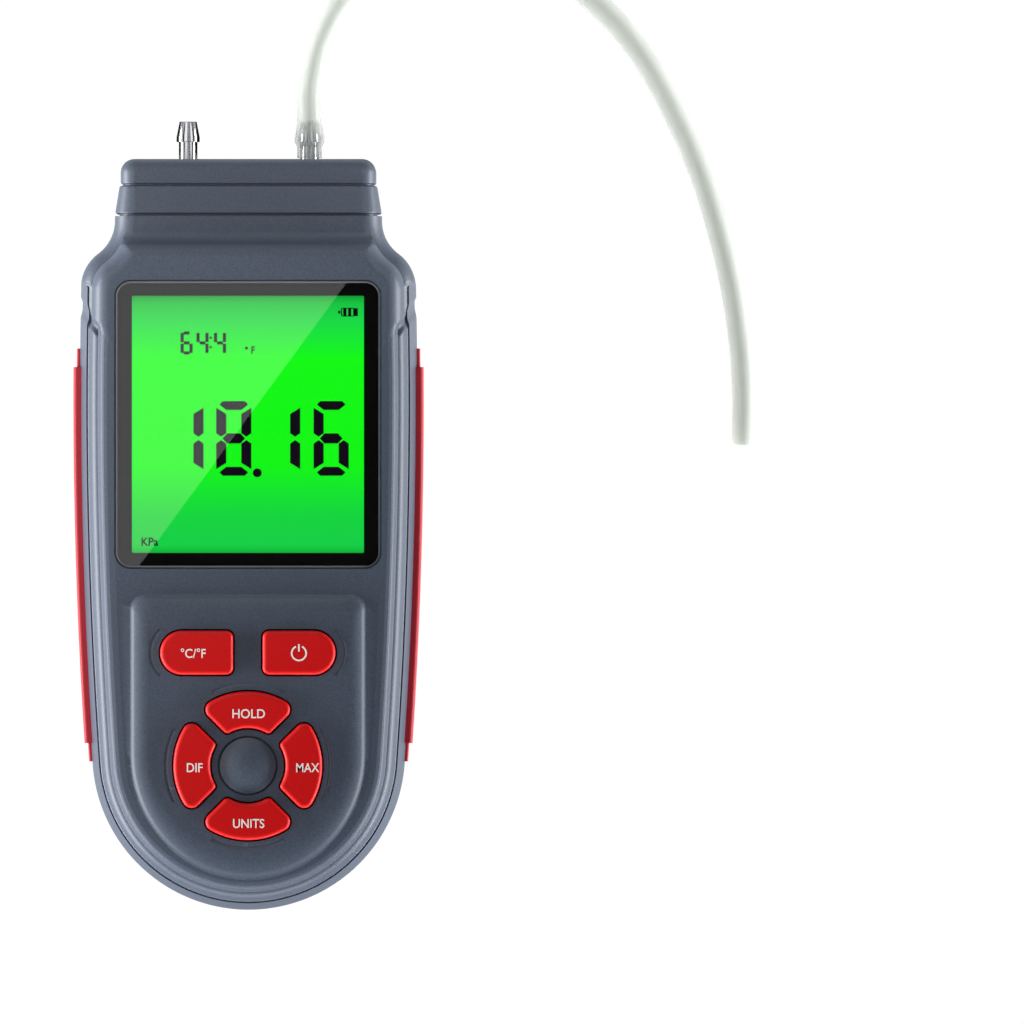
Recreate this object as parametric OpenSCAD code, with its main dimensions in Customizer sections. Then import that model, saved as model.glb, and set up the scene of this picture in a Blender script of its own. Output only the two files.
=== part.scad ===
// Handheld digital manometer with two barbed hose nozzles and one hose.
// It lies on its back: +Z leaves the display face and +Y runs towards the nozzles.
// The origin is on the back plane, below the middle of the instrument without its hose.

/* [Housing] */
// Width of the shell at its widest, without the side grips
body_w = 72.7; // [68:0.1:84]
// Length of the shell, from the round end to the mouth of the neck
body_l = 149.5; // [147:0.5:175]
// Height of the display face above the back
body_h = 33; // [31:0.5:39]
// Height of the parting line above the back
rear_h = 17; // [16:0.5:18.5]
// How much narrower each side is at the round end than at its widest
side_taper = 2.65; // [1:0.05:4]
// Distance from the mouth of the neck to the widest place
wide_drop = 40; // [30:1:60]
// Thickness of the side walls
side_wall = 3; // [2.6:0.1:3.4]
// Thickness of the back wall
back_wall = 2.2; // [1.8:0.1:2.6]
// Thickness of the wall behind the display face
face_wall = 3; // [2.6:0.1:3.2]
// Radius of the long edges of the back
back_round = 8; // [5:0.5:8.5]

/* [Neck] */
// How far the neck stands in from the widest place on each side
neck_step = 7.6; // [6:0.1:9]
// Radius of the shoulder corners
shoulder_r = 9.2; // [8.6:0.1:11]
// Radius of the flare between shoulder and neck
flare_r = 9; // [7:0.1:11]
// Distance from the mouth to the middle of the shoulder corners
shoulder_drop = 15.5; // [14:0.1:18]
// Height of the display face above the neck
neck_drop = 4.5; // [3.5:0.1:5]
// Radius of the neck's front edges
neck_round = 4.5; // [3:0.1:5]
// Length of the slope from the neck up to the display face
slope_l = 5.2; // [4.6:0.1:7]
// Distance from the mouth to the top of the slope
slope_drop = 8.6; // [7.6:0.1:9.6]
// Distance from the shell's side to where the slope stops running straight across
slope_side = 10.45; // [8.5:0.05:14]
// Angle at which the slope turns down over each shoulder
slope_a = 30; // [20:1:40]

/* [Side rail] */
// How far the flank leans in below the groove
flank_in = 1.5; // [1:0.1:1.8]
// Height of the upright skirt above the parting line
skirt_h = 3; // [1:0.5:5]
// Distance from the display face down to the groove
groove_drop = 5.9; // [5.5:0.1:6.5]
// Width of the groove
groove_w = 0.5; // [0.3:0.1:0.8]
// Width of the rounded rail
rail_w = 2.6; // [2:0.1:3]
// Height of the display face above the rail
rail_step = 1.6; // [1:0.1:2.2]
// Radius of the rail's cross-section
rail_r = 7; // [5:0.5:10]
// Radius of the edge of the display face
edge_r = 4; // [2.5:0.1:4.2]
// Distance from the mouth to the place where the rail starts
notch_drop = 19; // [18:0.5:24]
// Angle of the rail's end across the side
notch_a = 52; // [45:1:60]

/* [Grips] */
// Length of each side grip without its end tabs
grip_l = 81; // [60:1:81]
// Distance from the mouth of the neck to the upper end of the grip
grip_drop = 32.5; // [31:0.5:36]
// How far the grip stands out of the shell
grip_out = 1.4; // [0.8:0.1:2]
// How deep the grip is let into the shell
grip_in = 1.2; // [0.8:0.1:1.5]
// Height of the lower edge of the grip
grip_z = 7; // [6:0.5:9]
// Height of the grip
grip_h = 14.5; // [11:0.5:15]
// Length of the lower tab at each end
tab_l = 4; // [2:0.5:5]

/* [Display] */
// Distance of the lens from each side of the shell
lens_side = 7.95; // [7.5:0.05:10]
// Length of the lens
lens_l = 61.5; // [59:0.1:64]
// Thickness of the lens
lens_t = 1.4; // [1:0.1:1.6]
// Corner radius of the lens
lens_r = 3.2; // [2:0.1:5]
// Distance from the mouth to the middle of the lens
lens_drop = 44.9; // [44:0.1:47]
// Width of the black border at each side of the visible display
view_side = 3.45; // [3:0.05:6]
// Length of the visible display
view_l = 55.3; // [50:0.1:56]

/* [Keys] */
// Length of the two wide keys
wide_l = 15.7; // [14:0.1:17]
// Breadth of the two wide keys
wide_b = 9.5; // [8:0.1:10]
// Distance of each wide key from the middle line
wide_x = 11; // [10.5:0.1:12]
// Height of the wide keys above the middle of the round end
wide_up = 21.8; // [21.5:0.1:24]
// Distance of the ring of four keys below the middle of the round end
pad_down = 2.5; // [1.5:0.1:3]
// Inner radius of the ring of four keys
pad_ri = 8.1; // [8:0.1:9]
// Outer radius of the ring of four keys
pad_ro = 16; // [15:0.1:16.4]
// Distance between neighbours in the ring of four keys
pad_gap = 3; // [2.6:0.1:4]
// How far each key stands out of the keypad
key_out = 1.2; // [0.8:0.1:1.8]
// Gap all round each key
key_gap = 0.35; // [0.2:0.05:0.45]
// Travel of each key
key_travel = 0.6; // [0.3:0.1:0.7]
// Height of the raised keypad
island_h = 1.2; // [0.6:0.1:1.6]
// Distance from the shell's side to the foot of the raised keypad
island_side = 10.95; // [10:0.05:12]

/* [Nozzles] */
// Distance of each nozzle from the middle line
nozzle_x = 13.1; // [12:0.1:16]
// Height of the nozzles above the back
nozzle_z = 14.5; // [13:0.1:15]
// Length of each nozzle outside the end cap
nozzle_l = 8.2; // [7:0.1:14]
// Radius of the shank behind the barb
shank_r = 2; // [1.8:0.05:2.2]
// Radius of the crest of the barb
barb_r = 2.5; // [2.35:0.05:2.8]
// Radius of the tip of the barb
tip_r = 1.85; // [1.6:0.05:2]
// Radius of the bore
nozzle_bore_r = 1.2; // [0.8:0.05:1.3]
// Length of the barb, from its back to the tip
barb_l = 4.4; // [3:0.1:5]
// Length of the straight land on the crest
land_l = 1; // [0.5:0.1:1.5]

/* [End cap] */
// Length of the end cap outside the shell
cap_l = 11.8; // [11:0.1:14]
// Gap between the end cap and the shell
cap_gap = 0.5; // [0.3:0.1:0.8]
// Length of the wide tier of the end cap
tier_l = 6; // [5:0.1:7]
// Thickness of the end wall that carries the nozzles
cap_wall = 6; // [5.6:0.1:7]

/* [Batteries] */
// Diameter of one cell
cell_d = 10.5; // [10.3:0.1:10.6]
// Length of one cell with its button
cell_l = 44.5; // [43:0.1:45]
// Thickness of the battery cover
door_t = 1.9; // [1.6:0.1:2]

/* [Hose] */
// Outer diameter of the hose
hose_d = 5.4; // [5.2:0.1:6]
// Wall of the hose
hose_wall = 0.7; // [0.5:0.05:0.8]

/* [Hidden] */

// Overrun of every cut past the surface that it opens
over = 1;
// Gap between pieces that are fixed to each other but don't touch
seat_gap = 0.15;
// Radial gap of a running fit
run_gap = 0.06;
// Smallest gap between pieces that move past each other
move_gap = 0.3;
// Facets of the long side arcs, of other outlines and of small rounds
side_fn = 720;
round_fn = 96;
small_fn = 48;

// Places along the length
y_end = -(body_l + cap_gap + cap_l + nozzle_l) / 2;
y_mouth = y_end + body_l;
y_cap = y_mouth + cap_gap;
y_face = y_cap + cap_l;

// Outline: round end, long side arc, shoulder corner and flare, each tangent to the next
end_r = body_w / 2 - side_taper;
y_round = y_end + end_r;
y_wide = y_mouth - wide_drop;
side_r = (body_w * body_w / 4 - end_r * end_r + (y_wide - y_round) * (y_wide - y_round))
    / (2 * side_taper);
side_x = body_w / 2 - side_r;
corner_y = y_mouth - shoulder_drop;
corner_x = side_x + sqrt(pow(side_r - shoulder_r, 2) - pow(corner_y - y_wide, 2));
neck_x = body_w / 2 - neck_step;
flare_x = neck_x + flare_r;
flare_y = corner_y + sqrt(pow(shoulder_r + flare_r, 2) - pow(flare_x - corner_x, 2));
side_a0 = atan2(y_round - y_wide, -side_x);
side_a1 = atan2(corner_y - y_wide, corner_x - side_x);
corner_a = atan2(flare_y - corner_y, flare_x - corner_x);

// Heights of the front
neck_z = body_h - neck_drop;
groove_z = body_h - groove_drop;
ledge_in = flank_in + 2 * groove_w;
upper_in = ledge_in + edge_r;
inner_z = body_h - face_wall;
low_top = neck_z - face_wall + groove_w;
y_slope = y_mouth - slope_drop;
slope_x = body_w / 2 - slope_side;
back_r = min(back_round, shoulder_r);

// Display stack, from the lens down to the board
lens_y = y_mouth - lens_drop;
lens_w = body_w - 2 * lens_side;
view_w = lens_w - 2 * view_side;
lens_gap = 0.35;
lens_sunk = 0.3;
mask_t = 0.2;
mask_edge = 0.2;
window_lap = 0.8;
ledge_z = body_h - lens_sunk - lens_t - mask_t;
lcd_t = 2.4;
lcd_edge = 1.6;
lcd_z = inner_z - move_gap - lcd_t;
frame_wall = 1.2;
frame_floor = 1.2;
light_t = 2.6;
board_t = 1.6;
frame_z = lcd_z - seat_gap - light_t - seat_gap - frame_floor;
board_z = frame_z - board_t;
frame_w = view_w + 2 * (lcd_edge + seat_gap + frame_wall);
frame_l = view_l + 2 * (lcd_edge + seat_gap + frame_wall);
strip_b = 2;
strip_w = view_w - 2 * strip_b;
board_in = side_wall + 0.5;

// Keypad
pad_y = y_round - pad_down;
wide_y = y_round + wide_up;
key_z = body_h + island_h + key_out;
key_round = 0.8;
key_flange = 1;
flange_t = 1.2;
flange_z = inner_z - move_gap - flange_t;
wide_corner = 1.5;
pad_corner_o = 2;
pad_corner_i = 1;
pad_r = (pad_ri + pad_ro) / 2;
key_post_r = 2.2;
switch_w = 6;
switch_h = 3.3;
switch_floor = 1;
stem_r = 1.75;
stem_up = 1.2;
island_end_in = 6.6;
island_w = body_w / 2 - island_side;
island_r = end_r - island_end_in;
island_top = 34.4;
island_corner = 3;
island_side_fall = 4.4;
island_end_fall = 6.9;
island_top_fall = 4.1;
dome_r = 6;
dome_h = 1.1;
ring_w = 0.45;
crescent_r = 17.6;
crescent_a = 26;
crescent_w = 1.1;
crescent_t = 0.45;
wide_crescent_r = 6.8;
wide_crescent_a = 46;

// Screws: head radius and height, shank radius, places of the case screws and board screws
case_head_r = 2.6;
case_head_h = 2.2;
case_shank_r = 1.45;
case_boss_r = 3.3;
case_sink = 4;
case_tip_gap = 1.2;
case_top_in = 2.8;
case_top_drop = 10;
case_low_in = 12.7;
case_low_down = 16.7;
case_top = [neck_x - case_top_in, y_mouth - case_top_drop];
case_low = [end_r - case_low_in, y_round - case_low_down];
board_head_r = 2;
board_head_h = 1.4;
board_shank_r = 0.95;
board_boss_r = 2.3;
board_screw_l = 5;
board_top_x = 14;
board_top_drop = 7;
board_low_in = 8.2;
board_low_drop = 4.5;
board_top = [board_top_x, y_mouth - board_top_drop];
board_low = [body_w / 2 - board_low_in, lens_y - frame_l / 2 - board_low_drop];

// Battery bay, open to the back and closed by the battery cover
cell_gap = 0.3;
cell_pitch = cell_d + cell_gap;
bay_w = 3 * cell_pitch + cell_gap;
spring_l = 5;
contact_t = 0.4;
bay_l = cell_l + spring_l + 2 * (contact_t + seat_gap);
bay_down = 9;
bay_y = y_round - bay_down;
bay_ledge = 1.2;
bay_wall = 1.5;
bay_roof = 1.2;
cell_z = door_t + 2 * cell_gap + cell_d / 2;
bay_h = cell_z + cell_d / 2 + cell_gap;
door_w = bay_w + 2 * bay_ledge;
door_l = bay_l + 2 * bay_ledge;
door_y = bay_y - bay_ledge;
door_gap = 0.2;
hook_w = 6;
hook_x = bay_w / 4;
hook_t = 1.1;
hook_out = 1.3;
hook_in = 1;
hook_z = back_wall + seat_gap;
hook_room = 0.8;
tongue_w = 10;
tongue_l = 7;
tongue_slit = 0.8;
ridge_w = 1;
ridge_t = 0.4;
button_r = 2.75;
button_l = 1;

// End cap: section, tiers and the spigot that the two covers close on
cap_step = 0.1;
cap_taper = 0.9;
tier_step = 1.15;
tier_gap = 0.4;
tier_gap_in = 1.7;
cap_round = 3;
cap_side = 4;
spigot_l = 4.5;
spigot_t = 1.6;

// Nozzles, nuts, seals, inner tubes and sensor
collar_r = 3.9;
collar_t = 2;
collar_sink = 0.3;
thread_r = 2.6;
nut_r = 4.3;
nut_t = 2;
seal_r = 0.45;
inner_barb_l = 5;
inner_crest_l = 2;
inner_crest_r = 2.4;
inner_land_l = 0.8;
nut_y = y_face - cap_wall - nut_t;
nozzle_in_y = nut_y - inner_barb_l;
inner_tube_wall = 0.7;
sensor_w = 18;
sensor_b = 12;
sensor_h = 7.5;
sensor_back = 12;
port_x = 6;
port_l = 5;
port_r = 2.3;
port_bore_r = 1;
sensor_y = nozzle_in_y - sensor_back - port_l;
port_z = board_z - sensor_h / 2;

// Route of the hose on the table, in millimetres: it leaves the right nozzle,
// sinks to the table, bends over and comes back beside the instrument
hose_route = [
    [13, 91, 14], [15, 101, 12], [20, 111, 9], [28, 119, 6], [38, 123, 4],
    [49, 124, 3], [60, 121, 3], [70, 115, 3], [79, 107, 3], [86, 98, 3],
    [92, 87, 3], [97, 76, 3], [101, 64, 3], [104, 52, 3], [106, 40, 3],
    [107, 28, 3], [107, 15, 3]
];
hose_sides = 12;
tube_sides = 8;
hose_start_gap = 0.3;
stretch_share = 0.75;

// Small functions for outlines

function at(c, r, a) = [c[0] + r * cos(a), c[1] + r * sin(a)];

function arc(c, r, a0, a1, n) = [for (i = [0:n]) at(c, r, a0 + (a1 - a0) * i / n)];

function flipped(points) = [for (p = points) [-p[0], p[1]]];

function reversed(list) = [for (i = [len(list) - 1:-1:0]) list[i]];

// Centre of the circle of radius r through a and b, on the side of the body
function arc_middle(a, b, r) = let(h = norm(b - a) / 2, k = sqrt(r * r - h * h))
    (a + b) / 2 + k * [-(b[1] - a[1]), b[0] - a[0]] / (2 * h);

// Shell skin: stations round the right half of the outline, from the round end to the mouth.
// Each is [centre x, centre y, radius, angle, side of the arc the body is on, profile, lean].

RAIL = 0;
EDGE = 1;
NECK = 2;
steps_end = 14;
steps_side = 8;
steps_corner = 6;
steps_flare = 12;

notch_y = y_mouth - notch_drop;
notch_b = asin((notch_y - y_wide) / side_r);
notch_wall = atan(2 * groove_w / side_r);
notch_lean = tan(notch_a);
crown_share = 0.02;

function side_station(a, profile, lean) = [side_x, y_wide, side_r, a, 1, profile, lean];

half_stations = concat(
    [for (i = [0:steps_end])
        [0, y_round, end_r, -90 + (90 + side_a0) * i / steps_end, 1, RAIL, 0]],
    [for (i = [1:steps_side])
        side_station(side_a0 + (notch_b - side_a0) * i / (steps_side + 1), RAIL,
            i == steps_side ? notch_lean / 2 : 0)],
    [side_station(notch_b, RAIL, notch_lean),
     side_station(notch_b + notch_wall, EDGE, notch_lean)],
    [for (i = [0:steps_corner])
        [corner_x, corner_y, shoulder_r, side_a1 + (corner_a - side_a1) * i / steps_corner, 1,
         i == 0 ? EDGE : NECK, 0]],
    [for (i = [1:steps_flare])
        [flare_x, flare_y, flare_r, 180 + corner_a * (1 - i / steps_flare), -1, NECK, 0]],
    [[flare_x, max(y_mouth, flare_y) + over, flare_r, 180, -1, NECK, 0]]
);

function inset_point(st, d) = [
    st[0] + (st[2] - st[4] * d) * cos(st[3]),
    st[1] + (st[2] - st[4] * d) * sin(st[3]) - st[6] * d
];

// Height of the display face at a place, with the slopes down to the neck
function slope_z(u) = let(r = (neck_drop * neck_drop + slope_l * slope_l) / (4 * neck_drop))
    u <= 0 ? body_h
    : u < slope_l / 2 ? body_h - r + sqrt(r * r - u * u)
    : u < slope_l ? neck_z + r - sqrt(r * r - pow(slope_l - u, 2))
    : neck_z;
function face_z(p) = slope_z(max(p[1] - y_slope,
    (abs(p[0]) - slope_x) * sin(slope_a) + (p[1] - y_slope) * cos(slope_a)));

// Edge of the display face, and front edge of the neck, as heights over the inset
function edge_z(d) = body_h - edge_r + sqrt(edge_r * edge_r - pow(max(upper_in - d, 0), 2));
function neck_edge_z(d) =
    neck_z - neck_round + sqrt(pow(neck_round, 2) - pow(max(neck_round - d, 0), 2))
    + crown_share * max(d - neck_round, 0);

// The profiles as [inset, height], from the parting line to the display face
rail_a = [ledge_in, groove_z + groove_w];
rail_b = [ledge_in + rail_w, body_h - rail_step];
rail_c = arc_middle(rail_a, rail_b, rail_r);
rail_t0 = atan2(rail_a[1] - rail_c[1], rail_a[0] - rail_c[0]);
rail_t1 = atan2(rail_b[1] - rail_c[1], rail_b[0] - rail_c[0]);
flank = [
    [0, rear_h], [0, rear_h + skirt_h], [flank_in, groove_z],
    [flank_in + groove_w, groove_z - groove_w]
];
rail_profile = concat(flank, arc(rail_c, rail_r, rail_t0, rail_t1, 4),
    [for (d = [rail_b[0] + groove_w / 10, (rail_b[0] + upper_in) / 2, upper_in]) [d, edge_z(d)]]);
edge_profile = concat(flank, [[ledge_in, groove_z + groove_w]],
    [for (i = [0:6]) [upper_in - edge_r * cos(15 * i), edge_z(upper_in - edge_r * cos(15 * i))]]);
neck_profile_in = concat(
    [for (i = [0:3]) neck_round * (1 - cos(16 * i))],
    [ledge_in], [for (i = [1:6]) upper_in - edge_r * cos(15 * i)]);

function front_point(st, k) =
    st[5] == NECK
    ? let(d = k == 0 ? 0 : neck_profile_in[k - 1], q = inset_point(st, d),
          rise = k > 5 ? max(0, min(edge_z(d), face_z(q)) - neck_z) : 0)
      [q[0], q[1], k == 0 ? rear_h : neck_edge_z(d) + rise]
    : let(e = (st[5] == RAIL ? rail_profile : edge_profile)[k], q = inset_point(st, e[0]))
      [q[0], q[1], min(e[1], max(face_z(q), neck_z))];

// A station's point at an inset, square to the outline
function level_point(st, d) = inset_point([st[0], st[1], st[2], st[3], st[4], st[5], 0], d);

// The outline of the shell drawn in by d all round, cut square at the mouth
module shell_2d(d) {
    half = [for (st = half_stations) level_point(st, d)];
    intersection() {
        translate([-body_w, y_end]) square([2 * body_w, body_l]);
        polygon(concat(half, reversed(flipped([for (i = [1:len(half) - 1]) half[i]]))));
    }
}

// The back edge as [inset, height], from the parting line to the back
back_profile = concat([[0, rear_h]],
    [for (i = [0:6]) [back_r * (1 - cos(15 * i)), back_r * (1 - sin(15 * i))]]);

function back_point(st, k) =
    let(e = back_profile[k], q = level_point(st, e[0]))
    [q[0], q[1], e[1]];

// A closed skin over mirrored chains: half[k][i] is the point of ring k at station i
module skin(half) {
    rings = len(half);
    n = len(half[0]) - 1;
    c = 2 * n + 1;
    points = [for (ring = half) for (j = [0:c - 1])
        j < n ? [-ring[n - j][0], ring[n - j][1], ring[n - j][2]] : ring[j - n]];
    walls = [for (r = [0:rings - 2]) for (j = [0:c - 2])
        let(a = r * c + j, b = a + c) each [[a, b, b + 1], [a, b + 1, a + 1]]];
    ends = [for (r = [0:rings - 2])
        let(a = r * c, b = a + c, z = a + c - 1, y = b + c - 1) each [[b, a, z], [b, z, y]]];
    top = (rings - 1) * c;
    caps = [for (j = [0:n - 1]) let(k = c - 1 - j) each (j < n - 1
        ? [[j, j + 1, k - 1], [j, k - 1, k],
           [top + j, top + k, top + k - 1], [top + j, top + k - 1, top + j + 1]]
        : [[j, j + 1, k], [top + j, top + k, top + j + 1]])];
    polyhedron(points, concat(walls, ends, caps), convexity = 8);
}

module both() {
    children();
    mirror([1, 0, 0]) children();
}

module beyond_mouth() {
    translate([-body_w, y_mouth, -over]) cube([2 * body_w, body_l, body_h + 2 * over]);
}

module front_form() {
    difference() {
        skin([for (k = [0:len(rail_profile) - 1]) [for (st = half_stations) front_point(st, k)]]);
        beyond_mouth();
    }
}

// Space inside the front cover, drawn in by a further c
module front_space(c) {
    translate([0, 0, rear_h - over]) linear_extrude(low_top - c - rear_h + over)
        shell_2d(side_wall + c);
    translate([0, 0, rear_h - over]) linear_extrude(inner_z - c - rear_h + over)
        intersection() {
            shell_2d(upper_in + c);
            translate([-body_w, y_end]) square([2 * body_w, y_slope - face_wall - c - y_end]);
        }
}

// Outline of the raised keypad, t = 0 at its foot and 1 at its top
module island_2d(t) {
    w = island_w - t * island_side_fall;
    r = island_r - t * island_end_fall;
    y_top = y_round + island_top - t * island_top_fall;
    translate([0, y_round]) scale([w / r, 1]) circle(r = r, $fn = round_fn);
    translate([-w, y_round]) square([2 * w, y_top - island_corner - y_round]);
    translate([-w + island_corner, y_round])
        square([2 * (w - island_corner), y_top - y_round]);
    for (s = [-1, 1]) translate([s * (w - island_corner), y_top - island_corner])
        circle(r = island_corner, $fn = small_fn);
}

// Shares of the keypad's fall in plan, over the shares of its height
island_shares = [[0, 0], [0.15, 0.35], [0.35, 0.65], [0.6, 0.87], [1, 1]];

module island() {
    t = island_h / len(island_shares) / 2;
    hull() for (e = island_shares)
        translate([0, 0, e[0] == 0 ? inner_z + move_gap : body_h + e[1] * island_h - t])
            linear_extrude(e[0] == 0 ? face_wall - move_gap : t) island_2d(e[0]);
}

module dome() {
    r = (dome_r * dome_r + dome_h * dome_h) / (2 * dome_h);
    translate([0, pad_y, body_h]) rotate_extrude($fn = round_fn) intersection() {
        translate([0, island_h + dome_h - r]) circle(r = r, $fn = side_fn);
        square([dome_r, body_h]);
    }
}

// Rounded rectangle about the origin
module rounded_2d(w, l, r) {
    square([w, l - 2 * r], center = true);
    square([w - 2 * r, l], center = true);
    for (x = [-1, 1], y = [-1, 1])
        translate([x * (w / 2 - r), y * (l / 2 - r)]) circle(r = r, $fn = small_fn);
}

module at_case_screws() {
    for (p = [case_top, case_low], s = [-1, 1]) translate([s * p[0], p[1], 0]) children();
}

module at_board_screws() {
    for (p = [board_top, board_low], s = [-1, 1]) translate([s * p[0], p[1], 0]) children();
}

// Side grips: a band let into the flank, with a lower tab at each end

function band(in, out, z0, z1, r) = concat([[-in, z0]],
    arc([out - r, z0 + r], r, -90, 0, 4), arc([out - r, z1 - r], r, 0, 90, 4), [[-in, z1]]);

module side_band(y0, y1, points) {
    a0 = asin((y0 - y_wide) / side_r);
    a1 = asin((y1 - y_wide) / side_r);
    translate([side_x, y_wide, 0]) rotate_extrude(angle = a1 - a0, start = a0, $fn = side_fn)
        translate([side_r, 0]) polygon(points);
}

// grow widens the band all round, for the recess that takes it
module grip_form(grow) {
    y1 = y_mouth - grip_drop;
    y0 = y1 - grip_l;
    r = grip_out / 2;
    out = grow > 0 ? grip_out + over : grip_out;
    tab_out = grow > 0 ? grip_out + over : grip_out / 2;
    side_band(y0 - grow, y1 + grow,
        band(grip_in + grow, out, grip_z - grow, grip_z + grip_h + grow, r));
    side_band(y0 - tab_l - grow, y1 + tab_l + grow,
        band(grip_in + grow, tab_out, grip_z + grip_out - grow,
             grip_z + grip_h - grip_out + grow, r / 2));
}

module left_grip() { color("firebrick") mirror([1, 0, 0]) grip_form(0); }
module right_grip() { color("firebrick") grip_form(0); }

// Keys

WIDE = 0;
PAD = 1;

// Outline of a key as two chains that run the same way, grown by g
function wide_chains(g) = let(
    x0 = (wide_b - wide_l) / 2, x1 = wide_l / 2 - wide_corner, y1 = wide_b / 2 - wide_corner,
    up = concat(arc([x0, 0], wide_b / 2 + g, 172, 90, 8),
                arc([x1, y1], wide_corner + g, 90, 0, 5)))
    [[for (p = up) [p[0], -p[1]]], up];

// The sides of a pad key run beside the diagonals, half a gap from them
function pad_chains(g) = let(
    ro = pad_ro - pad_corner_o, ri = pad_ri + pad_corner_i,
    to = 45 - asin((pad_gap / 2 + pad_corner_o) / ro),
    ti = 45 - asin((pad_gap / 2 + pad_corner_i) / ri),
    n = 10,
    outer = concat(
        arc(at([0, 0], ro, -to), pad_corner_o + g, -135, -to, 4),
        [for (i = [1:n - 1]) at([0, 0], pad_ro + g, -to + 2 * to * i / n)],
        arc(at([0, 0], ro, to), pad_corner_o + g, to, 135, 4)),
    inner = concat(
        arc(at([0, 0], ri, -ti), pad_corner_i + g, -135, -ti - 180, 4),
        [for (i = [1:n - 1]) at([0, 0], pad_ri - g, -ti + 2 * ti * i / n)],
        arc(at([0, 0], ri, ti), pad_corner_i + g, ti + 180, 135, 4)))
    [outer, inner];

function key_chains(kind, g) = kind == WIDE ? wide_chains(g) : pad_chains(g);

module key_2d(kind, g) {
    c = key_chains(kind, g);
    polygon(concat(c[0], reversed(c[1])));
}

// A solid over levels of [chains, height], closed by strips between the two chains
module loft(levels) {
    m = len(levels[0][0][0]);
    c = 2 * m;
    top = (len(levels) - 1) * c;
    points = [for (l = levels) for (p = concat(l[0][0], reversed(l[0][1]))) [p[0], p[1], l[1]]];
    walls = [for (r = [0:len(levels) - 2]) for (j = [0:c - 1])
        let(a = r * c + j, b = r * c + (j + 1) % c)
        each [[a, a + c, b + c], [a, b + c, b]]];
    caps = [for (i = [0:m - 2]) let(k = c - 1 - i) each [
        [i, i + 1, k - 1], [i, k - 1, k],
        [top + i, top + k, top + k - 1], [top + i, top + k - 1, top + i + 1]]];
    polyhedron(points, concat(walls, caps), convexity = 6);
}

module place_key(kind, a) {
    if (kind == WIDE)
        translate([a == 0 ? -wide_x : wide_x, wide_y, 0]) rotate([0, 0, a]) children();
    else
        translate([0, pad_y, 0]) rotate([0, 0, a]) children();
}

module place_post(kind, a) {
    place_key(kind, a) translate([kind == WIDE ? 0 : pad_r, 0, 0]) children();
}

module at_keys() {
    for (a = [0, 180]) place_key(WIDE, a) children(0);
    for (a = [0:90:270]) place_key(PAD, a) children(1);
}

post_z = board_z + board_t + switch_h + stem_up;

module key(kind, a) {
    color("firebrick") {
        place_key(kind, a) {
            loft(concat([[key_chains(kind, 0), flange_z + flange_t / 2]],
                [for (t = [0:30:90]) [key_chains(kind, -key_round * (1 - cos(t))),
                                      key_z - key_round * (1 - sin(t))]]));
            translate([0, 0, flange_z]) linear_extrude(flange_t) key_2d(kind, key_flange);
        }
        place_post(kind, a) translate([0, 0, post_z])
            cylinder(r = key_post_r, h = flange_z - post_z + flange_t / 2, $fn = small_fn);
    }
}

module stem(kind, a) {
    z0 = board_z + board_t + switch_floor + key_travel + seat_gap;
    color("dimgray") place_post(kind, a) translate([0, 0, z0])
        cylinder(r = stem_r, h = post_z - z0, $fn = small_fn);
}

module temp_unit_key() { key(WIDE, 0); }
module power_key() { key(WIDE, 180); }
module max_key() { key(PAD, 0); }
module hold_key() { key(PAD, 90); }
module dif_key() { key(PAD, 180); }
module units_key() { key(PAD, 270); }

module temp_unit_stem() { stem(WIDE, 0); }
module power_stem() { stem(WIDE, 180); }
module max_stem() { stem(PAD, 0); }
module hold_stem() { stem(PAD, 90); }
module dif_stem() { stem(PAD, 180); }
module units_stem() { stem(PAD, 270); }

module at_posts() {
    for (a = [0, 180]) place_post(WIDE, a) children();
    for (a = [0:90:270]) place_post(PAD, a) children();
}

module key_switches() {
    color("gray") at_posts() translate([0, 0, board_z + board_t]) difference() {
        translate([-switch_w / 2, -switch_w / 2, 0]) cube([switch_w, switch_w, switch_h]);
        translate([0, 0, switch_floor])
            cylinder(r = stem_r + run_gap, h = switch_h, $fn = small_fn);
    }
}

// Front cover

// V groove on an arc of radius r, from angle a0 over a span
module arc_groove(r, a0, span) {
    z = body_h + island_h;
    rotate_extrude(angle = span, start = a0, $fn = round_fn) translate([r, z]) polygon([
        [-crescent_w / 2, over], [-crescent_w / 2, 0], [0, -crescent_t],
        [crescent_w / 2, 0], [crescent_w / 2, over]]);
}

module keypad_grooves() {
    translate([0, pad_y, 0]) {
        for (a = [0:90:270]) arc_groove(crescent_r, a - crescent_a, 2 * crescent_a);
        rotate_extrude($fn = round_fn)
            translate([dome_r, body_h + island_h - ring_w]) square([ring_w, over + ring_w]);
    }
    for (a = [0, 180]) place_key(WIDE, a) translate([(wide_b - wide_l) / 2, 0, 0])
        arc_groove(wide_crescent_r, 180 - wide_crescent_a, 2 * wide_crescent_a);
}

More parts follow.
